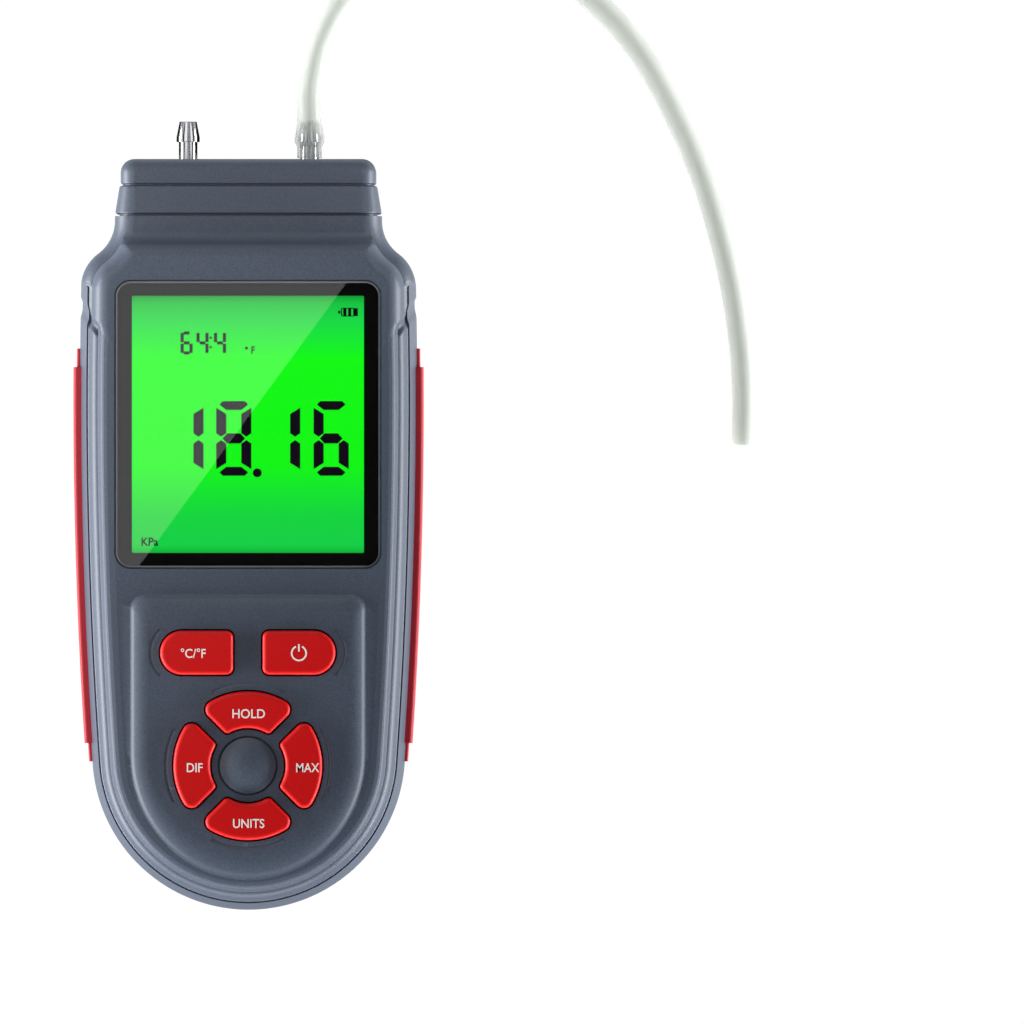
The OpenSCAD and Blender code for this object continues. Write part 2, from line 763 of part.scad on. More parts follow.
module front_cover() {
    color("slategray") difference() {
        union() {
            difference() {
                front_form();
                front_space(0);
            }
            island();
            at_case_screws() translate([0, 0, rear_h])
                cylinder(r = case_boss_r, h = low_top + over - rear_h, $fn = small_fn);
            for (s = [-1, 1]) {
                translate([s * board_top[0], board_top[1], board_z + board_t])
                    cylinder(r = board_boss_r, h = low_top + over - board_z - board_t,
                             $fn = small_fn);
                translate([s * board_low[0], board_low[1], board_z + board_t])
                    cylinder(r = board_boss_r, h = inner_z + over - board_z - board_t,
                             $fn = small_fn);
            }
        }
        translate([0, lens_y, ledge_z]) linear_extrude(body_h)
            rounded_2d(lens_w + 2 * lens_gap, lens_l + 2 * lens_gap, lens_r + lens_gap);
        translate([0, lens_y, inner_z - over]) linear_extrude(body_h)
            rounded_2d(view_w + 2 * window_lap, view_l + 2 * window_lap, window_lap);
        at_keys() {
            translate([0, 0, inner_z - over]) linear_extrude(body_h) key_2d(WIDE, key_gap);
            translate([0, 0, inner_z - over]) linear_extrude(body_h) key_2d(PAD, key_gap);
        }
        keypad_grooves();
        at_case_screws() translate([0, 0, rear_h - over])
            cylinder(r = case_shank_r + run_gap, h = low_top - rear_h + over, $fn = small_fn);
        at_board_screws() translate([0, 0, rear_h])
            cylinder(r = board_shank_r + run_gap, h = board_z + board_screw_l + seat_gap - rear_h,
                     $fn = small_fn);
        both() grip_form(seat_gap);
    }
    color("slategray") dome();
}

// Display

module display_lens() {
    color("dimgray", 0.6) translate([0, lens_y, ledge_z + mask_t]) linear_extrude(lens_t)
        rounded_2d(lens_w, lens_l, lens_r);
}

module lens_mask() {
    color("black") translate([0, lens_y, ledge_z]) linear_extrude(mask_t) difference() {
        rounded_2d(lens_w - 2 * mask_edge, lens_l - 2 * mask_edge, lens_r);
        square([view_w, view_l], center = true);
    }
}

module lcd_panel() {
    color("limegreen") translate([0, lens_y, lcd_z + lcd_t / 2])
        cube([view_w + 2 * lcd_edge, view_l + 2 * lcd_edge, lcd_t], center = true);
}

strip_y = view_l / 2 + lcd_edge - strip_b / 2 - seat_gap;
light_l = 2 * (strip_y - strip_b / 2 - 2 * seat_gap);

module backlight_panel() {
    color("honeydew") translate([0, lens_y, lcd_z - seat_gap - light_t / 2])
        cube([view_w + lcd_edge, light_l, light_t], center = true);
}

module lcd_frame() {
    top = inner_z - seat_gap;
    color("black") translate([0, lens_y, 0]) difference() {
        translate([-frame_w / 2, -frame_l / 2, frame_z]) cube([frame_w, frame_l, top - frame_z]);
        translate([-frame_w / 2 + frame_wall, -frame_l / 2 + frame_wall, frame_z + frame_floor])
            cube([frame_w - 2 * frame_wall, frame_l - 2 * frame_wall, body_h]);
        for (s = [-1, 1]) translate([0, s * strip_y, frame_z])
            cube([strip_w + 2 * seat_gap, strip_b + 2 * seat_gap, 4 * frame_floor], center = true);
    }
}

module zebra_strips() {
    color("gray") for (s = [-1, 1])
        translate([-strip_w / 2, lens_y + s * strip_y - strip_b / 2, board_z + board_t])
            cube([strip_w, strip_b, lcd_z - board_z - board_t]);
}

// Board, chips and sensor

module main_board() {
    y_top = y_mouth - spigot_l - 2 * seat_gap;
    color("green") translate([0, 0, board_z]) linear_extrude(board_t) difference() {
        intersection() {
            shell_2d(board_in);
            translate([-body_w, y_end]) square([2 * body_w, y_top - y_end]);
        }
        at_case_screws() circle(r = case_boss_r + 2 * move_gap, $fn = small_fn);
        at_board_screws() circle(r = board_shank_r + seat_gap, $fn = small_fn);
    }
}

chip_w = 10;
chip_t = 1.6;
small_chip_w = 5;

module board_chips() {
    color("black") {
        translate([-chip_w / 2, lens_y - chip_w / 2, board_z - chip_t])
            cube([chip_w, chip_w, chip_t]);
        for (s = [-1, 1])
            translate([s * 2 * chip_w - small_chip_w / 2, lens_y - chip_w, board_z - chip_t])
                cube([small_chip_w, small_chip_w, chip_t]);
    }
}

module pressure_sensor() {
    color("gainsboro") {
        translate([-sensor_w / 2, sensor_y - sensor_b, board_z - sensor_h])
            cube([sensor_w, sensor_b, sensor_h]);
        for (s = [-1, 1]) translate([s * port_x, sensor_y - over, port_z]) rotate([-90, 0, 0])
            difference() {
                cylinder(r = port_r, h = port_l + over, $fn = small_fn);
                translate([0, 0, 2 * over])
                    cylinder(r = port_bore_r, h = port_l, $fn = small_fn);
            }
    }
}

// Tubes: rings round a path, square to its direction

function unit(v) = v / norm(v);
function direction(path, i) = unit(path[min(i + 1, len(path) - 1)] - path[max(i - 1, 0)]);
function side_of(t) = unit(cross(t, abs(t[2]) > 0.9 ? [1, 0, 0] : [0, 0, 1]));
function ring(path, i, r, n) = let(t = direction(path, i), u = side_of(t), v = cross(t, u))
    [for (k = [0:n - 1]) path[i] + r * (cos(360 * k / n) * u + sin(360 * k / n) * v)];

// A hollow tube with an outer and an inner radius at every point of its path
module tube(path, outer, inner, n) {
    last = len(path) - 1;
    points = concat([for (i = [0:last]) each ring(path, i, outer[i], n)],
                    [for (i = [0:last]) each ring(path, i, inner[i], n)]);
    m = (last + 1) * n;
    walls = [for (i = [0:last - 1]) for (k = [0:n - 1])
        let(a = i * n + k, b = i * n + (k + 1) % n) each [
            [a, a + n, b + n], [a, b + n, b],
            [m + a, m + b, m + b + n], [m + a, m + b + n, m + a + n]]];
    e = last * n;
    ends = [for (k = [0:n - 1]) let(q = (k + 1) % n) each [
        [k, q, m + q], [k, m + q, m + k],
        [e + k, m + e + k, m + e + q], [e + k, m + e + q, e + q]]];
    polyhedron(points, concat(walls, ends), convexity = 10);
}

// A solid wire along a path
module wire(path, r, n) {
    last = len(path) - 1;
    points = concat([for (i = [0:last]) each ring(path, i, r, n)], [path[0], path[last]]);
    walls = [for (i = [0:last - 1]) for (k = [0:n - 1])
        let(a = i * n + k, b = i * n + (k + 1) % n) each [[a, a + n, b + n], [a, b + n, b]]];
    e = last * n;
    z = (last + 1) * n;
    ends = [for (k = [0:n - 1]) let(q = (k + 1) % n) each [[k, q, z], [e + q, e + k, z + 1]]];
    polyhedron(points, concat(walls, ends), convexity = 10);
}

function curve(a, b, c, d, t) =
    pow(1 - t, 3) * a + 3 * t * pow(1 - t, 2) * b + 3 * t * t * (1 - t) * c + t * t * t * d;

module inner_tube() {
    r = (inner_crest_r + run_gap) / cos(180 / tube_sides);
    y0 = sensor_y + seat_gap;
    y1 = nut_y - seat_gap;
    a = [port_x, sensor_y + port_l + over, port_z];
    b = [nozzle_x, nozzle_in_y - over, nozzle_z];
    pull = [0, sensor_back / 2, 0];
    path = concat([[port_x, y0, port_z]],
        [for (i = [0:8]) curve(a, a + pull, b - pull, b, i / 8)],
        [[nozzle_x, y1, nozzle_z]]);
    n = len(path);
    tube(path, [for (i = [1:n]) r + inner_tube_wall], [for (i = [1:n]) r], tube_sides);
}

module left_inner_tube() { color("white") mirror([1, 0, 0]) inner_tube(); }
module right_inner_tube() { color("white") inner_tube(); }

// Nozzles

module nozzle() {
    tail = cap_wall + nut_t + inner_barb_l;
    shoulder = cap_wall + nut_t + seat_gap;
    crest = tail - inner_crest_l;
    color("silver") translate([0, y_face, nozzle_z]) rotate([-90, 0, 0])
        rotate_extrude($fn = small_fn) polygon([
            [nozzle_bore_r, -tail], [port_r - seat_gap, -tail],
            [inner_crest_r, -crest], [inner_crest_r, -crest + inner_land_l],
            [shank_r, -crest + inner_land_l], [shank_r, -shoulder], [thread_r, -shoulder],
            [thread_r, -collar_t - collar_sink], [collar_r, -collar_t - collar_sink],
            [collar_r, -collar_sink], [shank_r, -collar_sink], [shank_r, nozzle_l - barb_l],
            [barb_r, nozzle_l - barb_l], [barb_r, nozzle_l - barb_l + land_l],
            [tip_r, nozzle_l], [nozzle_bore_r, nozzle_l]
        ]);
}

module left_nozzle() { translate([-nozzle_x, 0, 0]) nozzle(); }
module right_nozzle() { translate([nozzle_x, 0, 0]) nozzle(); }

module nozzle_nuts() {
    color("goldenrod") for (s = [-1, 1]) translate([s * nozzle_x, nut_y, nozzle_z])
        rotate([-90, 0, 0]) difference() {
            cylinder(r = nut_r, h = nut_t, $fn = 6);
            translate([0, 0, -over])
                cylinder(r = thread_r + run_gap, h = nut_t + 2 * over, $fn = small_fn);
        }
}

seal_y = y_face - collar_sink - collar_t;

module nozzle_seals() {
    color("black") for (s = [-1, 1])
        translate([s * nozzle_x, seal_y - seal_r - run_gap, nozzle_z]) rotate([-90, 0, 0])
            rotate_extrude($fn = small_fn)
                translate([thread_r + run_gap + seal_r, 0]) circle(r = seal_r, $fn = small_fn);
}

// End cap

// Section across the length: half width w, heights z0 and z1, radii at the back and the front
module section_2d(w, z0, z1, rb, rt) {
    polygon([[-w, z0 + rb], [-w, z1 - rt], [-w + rt, z1], [w - rt, z1], [w, z1 - rt],
             [w, z0 + rb], [w - rb, z0], [-w + rb, z0]]);
    for (s = [-1, 1]) {
        translate([s * (w - rb), z0 + rb]) circle(r = rb, $fn = small_fn);
        translate([s * (w - rt), z1 - rt]) circle(r = rt, $fn = small_fn);
    }
}

module cap_2d(d) {
    section_2d(neck_x - cap_step - d, cap_step + d, neck_z - cap_step - d,
               max(back_r - d, cap_step), max(neck_round - d, cap_step));
}

// A slice of the cap from y to y + t, drawn in by d
module cap_slice(y, t, d) {
    translate([0, y + t, 0]) rotate([90, 0, 0]) linear_extrude(t) cap_2d(d);
}

module spigot_slice(y, t, d) {
    translate([0, y + t, 0]) rotate([90, 0, 0]) linear_extrude(t)
        section_2d(neck_x - side_wall - seat_gap - d, back_wall + seat_gap + d,
                   low_top - seat_gap - d, back_r, cap_round);
}

module end_cap() {
    thin = cap_step / 2;
    y_tier = y_cap + tier_l;
    y_upper = y_tier + tier_gap;
    y_round_off = y_face - cap_round;
    spigot_y = y_mouth - spigot_l;
    color("slategray") difference() {
        union() {
            hull() {
                cap_slice(y_cap, thin, 0);
                cap_slice(y_tier - thin, thin, cap_taper);
            }
            cap_slice(y_tier - thin, tier_gap + 2 * thin, tier_gap_in);
            hull() {
                cap_slice(y_upper, y_round_off - y_upper, tier_step);
                for (t = [15:15:90])
                    cap_slice(y_round_off + cap_round * sin(t) - thin, thin,
                              tier_step + cap_round * (1 - cos(t)));
            }
            spigot_slice(spigot_y, y_cap + over - spigot_y, 0);
        }
        cap_slice(y_cap, y_face - cap_wall - y_cap, cap_side);
        spigot_slice(spigot_y - over, y_cap + 2 * over - spigot_y, spigot_t);
        for (s = [-1, 1]) translate([s * nozzle_x, 0, nozzle_z]) rotate([-90, 0, 0]) {
            translate([0, 0, y_face - cap_wall - over])
                cylinder(r = thread_r + run_gap, h = cap_wall + over, $fn = small_fn);
            translate([0, 0, seal_y - 2 * seal_r - 2 * run_gap])
                cylinder(r = thread_r + 2 * seal_r + 3 * run_gap, h = cap_wall, $fn = small_fn);
            translate([0, 0, seal_y])
                cylinder(r = collar_r + run_gap, h = cap_wall, $fn = small_fn);
        }
    }
}

// Rear cover

step_z = back_wall + back_r / 3;
step_in = side_wall + back_r / 4;

module rear_form() {
    difference() {
        skin([for (k = [len(back_profile) - 1:-1:0])
            [for (st = half_stations) back_point(st, k)]]);
        beyond_mouth();
    }
}

module rear_space() {
    translate([0, 0, back_wall]) linear_extrude(rear_h) shell_2d(step_in);
    translate([0, 0, step_z]) linear_extrude(rear_h) shell_2d(side_wall);
}

// A block over the bay's plan, wider by w all round, from z0 to z1
module bay_block(w, z0, z1) {
    translate([-bay_w / 2 - w, bay_y - w, z0]) cube([bay_w + 2 * w, bay_l + 2 * w, z1 - z0]);
}

tail_w = 1.2;
tail_x = cell_pitch;

module rear_cover() {
    color("slategray") difference() {
        union() {
            difference() {
                rear_form();
                rear_space();
            }
            bay_block(bay_ledge + bay_wall, back_wall / 2, bay_h + bay_roof);
            at_case_screws() translate([0, 0, back_wall / 2])
                cylinder(r = case_boss_r, h = rear_h - back_wall / 2, $fn = small_fn);
        }
        bay_block(0, -over, bay_h);
        bay_block(bay_ledge, -over, back_wall);
        for (s = [-1, 1]) {
            translate([s * hook_x - hook_w / 2 - move_gap, door_y - hook_out - hook_room,
                       back_wall])
                cube([hook_w + 2 * move_gap, hook_out + hook_room + bay_ledge + over,
                      hook_t + seat_gap + hook_room]);
            translate([s * tail_x - tail_w / 2 - seat_gap, bay_y, bay_h - over])
                cube([tail_w + 2 * seat_gap, contact_t + 2 * seat_gap, bay_roof + 2 * over]);
        }
        at_case_screws() {
            translate([0, 0, -over])
                cylinder(r = case_head_r + seat_gap, h = case_sink + over, $fn = small_fn);
            cylinder(r = case_shank_r + seat_gap, h = rear_h + over, $fn = small_fn);
        }
        both() grip_form(seat_gap);
    }
}

// Battery cover: hooks at the round end, a tongue at the other, hinged on the hooks' edge

module battery_cover() {
    w = door_w - 2 * door_gap;
    l = door_l - 2 * door_gap;
    y0 = door_y + door_gap;
    color("slategray") difference() {
        union() {
            translate([-w / 2, y0, 0]) cube([w, l, door_t]);
            for (s = [-1, 1]) translate([s * hook_x - hook_w / 2, 0, 0]) {
                translate([0, y0, 0]) cube([hook_w, hook_in - door_gap, hook_z + hook_t]);
                translate([0, door_y - hook_out, hook_z])
                    cube([hook_w, hook_out + hook_in, hook_t]);
            }
        }
        for (s = [-1, 1])
            translate([s * (tongue_w + tongue_slit) / 2 - tongue_slit / 2,
                       y0 + l - tongue_l, -over])
                cube([tongue_slit, tongue_l + over, door_t + 2 * over]);
        for (i = [1:3])
            translate([-tongue_w / 2 + ridge_w, y0 + l - 2 * i * ridge_w, -over])
                cube([tongue_w - 2 * ridge_w, ridge_w, over + ridge_t]);
    }
}

// Cells, contacts and springs: every other cell is turned round

cell_y0 = bay_y + seat_gap + contact_t;
cell_y1 = bay_y + bay_l - seat_gap - contact_t;

module place_cell(k) {
    translate([(k - 1) * cell_pitch, k == 1 ? cell_y1 : cell_y0, cell_z])
        rotate([k == 1 ? 90 : -90, 0, 0]) children();
}

module battery_cells() {
    color("royalblue") for (k = [0:2]) place_cell(k) translate([0, 0, spring_l]) {
        cylinder(r = cell_d / 2, h = cell_l - button_l, $fn = small_fn);
        cylinder(r = button_r, h = cell_l, $fn = small_fn);
    }
}

contact_w = 7.5;

module battery_contacts() {
    color("silver") {
        for (k = [0:2], e = [0, 1])
            translate([(k - 1) * cell_pitch - contact_w / 2, e == 0 ? cell_y0 - contact_t : cell_y1,
                       cell_z - contact_w / 2])
                cube([contact_w, contact_t, contact_w]);
        for (e = [0, 1])
            translate([e == 0 ? -cell_pitch : 0, e == 0 ? cell_y1 : cell_y0 - contact_t,
                       cell_z - tail_w / 2])
                cube([cell_pitch, contact_t, tail_w]);
        for (s = [-1, 1])
            translate([s * tail_x - tail_w / 2, cell_y0 - contact_t, cell_z])
                cube([tail_w, contact_t, board_z - cell_z]);
    }
}

wire_r = 0.3;
spring_r = 3;
spring_turns = 3;

module battery_springs() {
    l = spring_l - 2 * wire_r - seat_gap;
    n = spring_turns * 8;
    color("silver") for (k = [0:2]) place_cell(k)
        wire([for (i = [0:n]) let(r = spring_r * (1 - i / n / 3))
            [r * cos(45 * i), r * sin(45 * i), wire_r + seat_gap / 2 + l * i / n]], wire_r, 6);
}

// Screws

module screw(head_r, head_h, shank_r, l) {
    difference() {
        union() {
            translate([0, 0, -head_h]) cylinder(r = head_r, h = head_h, $fn = small_fn);
            cylinder(r = shank_r, h = l, $fn = small_fn);
        }
        for (a = [0, 90]) rotate([0, 0, a]) translate([0, 0, -head_h])
            cube([head_r, head_r / 4, head_h], center = true);
    }
}

module case_screws() {
    color("silver") at_case_screws() translate([0, 0, case_sink])
        screw(case_head_r, case_head_h, case_shank_r, low_top - case_tip_gap - case_sink);
}

module board_screws() {
    color("silver") at_board_screws() translate([0, 0, board_z])
        screw(board_head_r, board_head_h, board_shank_r, board_screw_l);
}

// Hose: stretched over the right nozzle, then along its route to a cut end

module pressure_hose() {
    c = cos(180 / hose_sides);
    r0 = hose_d / 2;
    over_barb = (barb_r + run_gap) / c;
    barb_y = y_face + nozzle_l - barb_l;
    head = [
        [y_face + hose_start_gap, 0], [barb_y - land_l, 0], [barb_y, 1],
        [barb_y + land_l, 1], [y_face + nozzle_l, 0], [y_face + nozzle_l + hose_d / 2, 0]
    ];
    path = concat([for (h = head) [nozzle_x, h[0], nozzle_z]], hose_route);
    bulge = concat([for (h = head) h[1]], [for (p = hose_route) 0]);
    inner = [for (b = bulge) b > 0 ? over_barb : (shank_r + run_gap) / c];
    outer = [for (b = bulge) b > 0 ? over_barb + hose_wall * stretch_share : r0 / c];
    color("aliceblue") tube(path, outer, inner, hose_sides);
}

front_cover();
rear_cover();
end_cap();
left_grip();
right_grip();
display_lens();
lens_mask();
lcd_panel();
lcd_frame();
backlight_panel();
zebra_strips();
main_board();
board_chips();
key_switches();
temp_unit_key();
power_key();
hold_key();
dif_key();
max_key();
units_key();
temp_unit_stem();
power_stem();
hold_stem();
dif_stem();
max_stem();
units_stem();
pressure_sensor();
left_inner_tube();
right_inner_tube();
left_nozzle();
right_nozzle();
nozzle_nuts();
nozzle_seals();
battery_cover();
battery_cells();
battery_contacts();
battery_springs();
case_screws();
board_screws();
pressure_hose();
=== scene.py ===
# %% [markdown]
# # A handheld digital manometer, dressed for the camera
#
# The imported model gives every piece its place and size. This script gives the pieces their
# moulded, rubber, glass and plated looks, rebuilds the curved covers and keys as finer meshes
# from the same sizes, and lights and frames the instrument.

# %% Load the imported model
import math

import bmesh
import bpy
from mathutils import Matrix, Vector


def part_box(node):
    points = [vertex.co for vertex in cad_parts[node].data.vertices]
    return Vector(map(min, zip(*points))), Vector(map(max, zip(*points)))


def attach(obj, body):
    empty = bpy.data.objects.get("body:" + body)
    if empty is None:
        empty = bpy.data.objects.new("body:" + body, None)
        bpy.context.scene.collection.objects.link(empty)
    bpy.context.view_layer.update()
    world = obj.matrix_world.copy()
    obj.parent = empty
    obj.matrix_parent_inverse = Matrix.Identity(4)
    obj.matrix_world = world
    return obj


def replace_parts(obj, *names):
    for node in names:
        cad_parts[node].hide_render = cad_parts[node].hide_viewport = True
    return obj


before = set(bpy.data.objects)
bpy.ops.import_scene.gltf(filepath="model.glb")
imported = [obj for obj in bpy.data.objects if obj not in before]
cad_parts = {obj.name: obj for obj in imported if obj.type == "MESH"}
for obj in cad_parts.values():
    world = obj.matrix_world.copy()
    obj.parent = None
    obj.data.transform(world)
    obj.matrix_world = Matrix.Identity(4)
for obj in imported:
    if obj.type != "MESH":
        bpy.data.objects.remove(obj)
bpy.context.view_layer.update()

print("nodes loaded:", len(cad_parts))

# %% [markdown]
# ## Sizes
#
# Everything here is written in millimetres, because the instrument was measured in them, and
# turned to metres only when a mesh is made. The housing's sizes are the same ones that drive the
# solid model, so the finer meshes share its outline and faces. Only the rail beside the V groove
# has a profile of its own, which is fuller than the solid's.

# %% Sizes of the housing, in millimetres
MM = 0.001

body_w, body_l, body_h, rear_h = 72.7, 149.5, 33.0, 17.0
side_taper, wide_drop, side_wall, face_wall = 2.65, 40.0, 3.0, 3.0
back_r = 8.0
neck_step, shoulder_r, flare_r, shoulder_drop = 7.6, 9.2, 9.0, 15.5
neck_drop, neck_round, slope_l, slope_drop, slope_x = 4.5, 4.5, 5.2, 8.6, 25.9
slope_turn = math.radians(30)
flank_in, skirt_h, groove_drop, groove_w = 1.5, 3.0, 5.9, 0.5
edge_r = 4.0
notch_drop, notch_lean = 19.0, math.tan(math.radians(52))
cap_l, cap_gap, tier_l, nozzle_l = 11.8, 0.5, 6.0, 8.2

y_end = -(body_l + cap_gap + cap_l + nozzle_l) / 2
y_mouth = y_end + body_l
y_cap = y_mouth + cap_gap
y_face = y_cap + cap_l

end_r = body_w / 2 - side_taper
y_round = y_end + end_r
y_wide = y_mouth - wide_drop
side_r = (body_w ** 2 / 4 - end_r ** 2 + (y_wide - y_round) ** 2) / (2 * side_taper)
side_x = body_w / 2 - side_r
corner_y = y_mouth - shoulder_drop
corner_x = side_x + math.sqrt((side_r - shoulder_r) ** 2 - (corner_y - y_wide) ** 2)
neck_x = body_w / 2 - neck_step
flare_x = neck_x + flare_r
flare_y = corner_y + math.sqrt((shoulder_r + flare_r) ** 2 - (flare_x - corner_x) ** 2)
side_a0 = math.atan2(y_round - y_wide, -side_x)
side_a1 = math.atan2(corner_y - y_wide, corner_x - side_x)
corner_a = math.atan2(flare_y - corner_y, flare_x - corner_x)
neck_z = body_h - neck_drop
groove_z = body_h - groove_drop
ledge_in = flank_in + 2 * groove_w
upper_in = ledge_in + edge_r
y_slope = y_mouth - slope_drop
lens_y = y_mouth - 44.9

print("housing from y =", round(y_end, 2), "to", round(y_face, 2), "mm")

# %% [markdown]
# ## Small tools
#
# A mesh is made from points in millimetres and lists of corners. Sharp edges are found by angle,
# so a moulded round shades smoothly while the edge of a groove stays crisp. Cuts are booleans
# whose result is kept as plain mesh.

# %% Mesh helpers
SHARP = math.radians(28)


def link(obj):
    bpy.context.scene.collection.objects.link(obj)
    return obj


def shade(mesh, angle=SHARP):
    mesh.shade_smooth()
    mesh.set_sharp_from_angle(angle=angle)


def make_mesh(name, points, faces, angle=SHARP):
    mesh = bpy.data.meshes.new(name)
    mesh.from_pydata([[c * MM for c in p] for p in points], [], faces)
    work = bmesh.new()
    work.from_mesh(mesh)
    bmesh.ops.remove_doubles(work, verts=work.verts, dist=1e-7)
    bmesh.ops.recalc_face_normals(work, faces=work.faces)
    work.to_mesh(mesh)
    work.free()
    shade(mesh, angle)
    return link(bpy.data.objects.new(name, mesh))


def bake(obj, angle=SHARP):
    """Keeps the result of the modifiers as the object's own mesh."""
    bpy.context.view_layer.update()
    graph = bpy.context.evaluated_depsgraph_get()
    mesh = bpy.data.meshes.new_from_object(obj.evaluated_get(graph))
    obj.modifiers.clear()
    obj.data = mesh
    shade(mesh, angle)
    return obj


def carve(obj, tools, operation="DIFFERENCE"):
    """One boolean with each tool, which is deleted afterwards."""
    for tool in tools:
        step = obj.modifiers.new("step", "BOOLEAN")
        step.operation = operation
        step.solver = "EXACT"
        step.object = tool
        bake(obj)
        bpy.data.objects.remove(tool)
    return obj


def even_light(obj):
    """Large flat faces keep their own normal, so no shade creeps over them from a round."""
    weigh = obj.modifiers.new("weigh", "WEIGHTED_NORMAL")
    weigh.keep_sharp = True
    weigh.weight = 100
    return obj


def prism(name, outline, z0, z1):
    """An upright solid over a closed outline."""
    n = len(outline)
    points = [(x, y, z0) for x, y in outline] + [(x, y, z1) for x, y in outline]
    faces = [list(range(n))[::-1], list(range(n, 2 * n))]
    faces += [[i, (i + 1) % n, n + (i + 1) % n, n + i] for i in range(n)]
    return make_mesh(name, points, faces)


def lathe(name, profile, centre, steps=96, axis="Y", angle=SHARP, span=360.0, start=0.0):
    """Turns a profile of (radius, height) pairs about an axis; a full turn closes itself."""
    full = span >= 360.0
    count = steps if full else steps + 1
    points, faces = [], []
    for i in range(count):
        a = math.radians(start + span * i / steps)
        for r, h in profile:
            if axis == "Y":
                points.append((centre[0] + r * math.cos(a), centre[1] + h,
                               centre[2] + r * math.sin(a)))
            else:
                points.append((centre[0] + r * math.cos(a), centre[1] + r * math.sin(a),
                               centre[2] + h))
    n = len(profile)
    for i in range(steps):
        a, b = i * n, ((i + 1) % count) * n
        faces += [[a + k, a + (k + 1) % n, b + (k + 1) % n, b + k] for k in range(n)]
    if not full:
        faces += [list(range(n)), list(range(n * (count - 1), n * count))[::-1]]
    return make_mesh(name, points, faces, angle)


def arc(cx, cy, r, a0, a1, n):
    """Points of an arc, with its angles in degrees."""
    return [(cx + r * math.cos(math.radians(a0 + (a1 - a0) * i / n)),
             cy + r * math.sin(math.radians(a0 + (a1 - a0) * i / n))) for i in range(n + 1)]


def rounded(w, l, r, cx=0.0, cy=0.0, n=12):
    """A rectangle with round corners."""
    out = []
    for sx, sy, a in ((1, 1, 0), (-1, 1, 90), (-1, -1, 180), (1, -1, 270)):
        out += arc(cx + sx * (w / 2 - r), cy + sy * (l / 2 - r), r, a, a + 90, n)
    return out


# %% [markdown]
# ## Materials
#
# Each material is a Principled shader with the optical values of the real one. Colours are
# written as sRGB hex, as a paint card would give them, and turned to linear light by one
# function. Grain is a procedural bump whose scale is in millimetres.

# %% Shader helpers
def linear(code):
    """sRGB hex to linear RGBA."""
    parts = [int(code[i:i + 2], 16) / 255 for i in (0, 2, 4)]
    return [p / 12.92 if p <= 0.04045 else ((p + 0.055) / 1.055) ** 2.4 for p in parts] + [1.0]


def add(tree, kind, links=None, **settings):
    """Adds a node, sets its fields and sockets, and links inputs from other nodes' outputs."""
    node = tree.nodes.new(kind)
    for key, value in settings.items():
        if hasattr(node, key):
            setattr(node, key, value)
        else:
            node.inputs[key.replace("_", " ")].default_value = value
    for key, source in (links or {}).items():
        tree.links.new(source, node.inputs[key])
    return node


def material(name, color, roughness, **sockets):
    """A Principled material. Constants are set on its own sockets."""
    made = bpy.data.materials.new(name)
    made.use_nodes = True
    shader = made.node_tree.nodes["Principled BSDF"]
    shader.inputs["Base Color"].default_value = linear(color)
    shader.inputs["Roughness"].default_value = roughness
    for key, value in sockets.items():
        shader.inputs[key.replace("_", " ")].default_value = value
    return made


def per_mm(size):
    """Noise scale for grains of a size in millimetres, over object coordinates in metres."""
    return 1000.0 / size


def grain(made, size, height, detail=2.0, mottle=0.0, gloss=0.0):
    """Fine relief of a size and height in millimetres, with a little mottling of the colour."""
    tree = made.node_tree
    shader = tree.nodes["Principled BSDF"]
    place = add(tree, "ShaderNodeTexCoord").outputs["Object"]
    noise = add(tree, "ShaderNodeTexNoise", {"Vector": place}, Scale=per_mm(size), Detail=detail)
    bump = add(tree, "ShaderNodeBump", {"Height": noise.outputs["Fac"]}, Distance=height * MM,
               Strength=1.0)
    tree.links.new(bump.outputs["Normal"], shader.inputs["Normal"])
    if mottle:
        base = list(shader.inputs["Base Color"].default_value)
        ramp = add(tree, "ShaderNodeValToRGB", {"Fac": noise.outputs["Fac"]})
        ramp.color_ramp.elements[0].position = 0.3
        ramp.color_ramp.elements[1].position = 0.7
        ramp.color_ramp.elements[0].color = [c * (1 - mottle) for c in base[:3]] + [1]
        ramp.color_ramp.elements[1].color = [c * (1 + mottle) for c in base[:3]] + [1]
        tree.links.new(ramp.outputs["Color"], shader.inputs["Base Color"])
    if gloss:
        rough = shader.inputs["Roughness"].default_value
        span = add(tree, "ShaderNodeMapRange", {"Value": noise.outputs["Fac"]},
                   To_Min=rough - gloss, To_Max=rough + gloss)
        tree.links.new(span.outputs["Result"], shader.inputs["Roughness"])
    return made


# %% [markdown]
# ### Moulded plastics and rubbers
#
# The housing is moulded ABS with a fine spark-eroded texture, blue grey, with a faint sparkle of
# light and dark grains. ABS has an IOR of about 1.54. The grips are thermoplastic rubber, redder
# and softer in their gloss, and the keys are a harder, smoother plastic.

# %% Plastic and rubber
housing_abs = grain(material("moulded ABS", "404a5a", 0.46, IOR=1.54), 0.35, 0.012, mottle=0.2,
                    gloss=0.06)
key_plastic = grain(material("moulded hard red plastic", "cc0406", 0.42, IOR=1.5,
                             Specular_IOR_Level=0.3), 0.6, 0.003, mottle=0.05)
grip_rubber = grain(material("moulded red rubber", "aa0e22", 0.55, IOR=1.5), 0.35, 0.01,
                    mottle=0.1)
black_plastic = grain(material("black moulded plastic", "1c1c1e", 0.5, IOR=1.5), 0.4, 0.008)
black_rubber = grain(material("nitrile rubber", "161616", 0.6, IOR=1.5), 0.4, 0.01)
white_ink = grain(material("white pad print", "f3efec", 0.45), 0.2, 0.002)
print("plastics:", [m.name for m in (housing_abs, key_plastic, grip_rubber, black_plastic)])

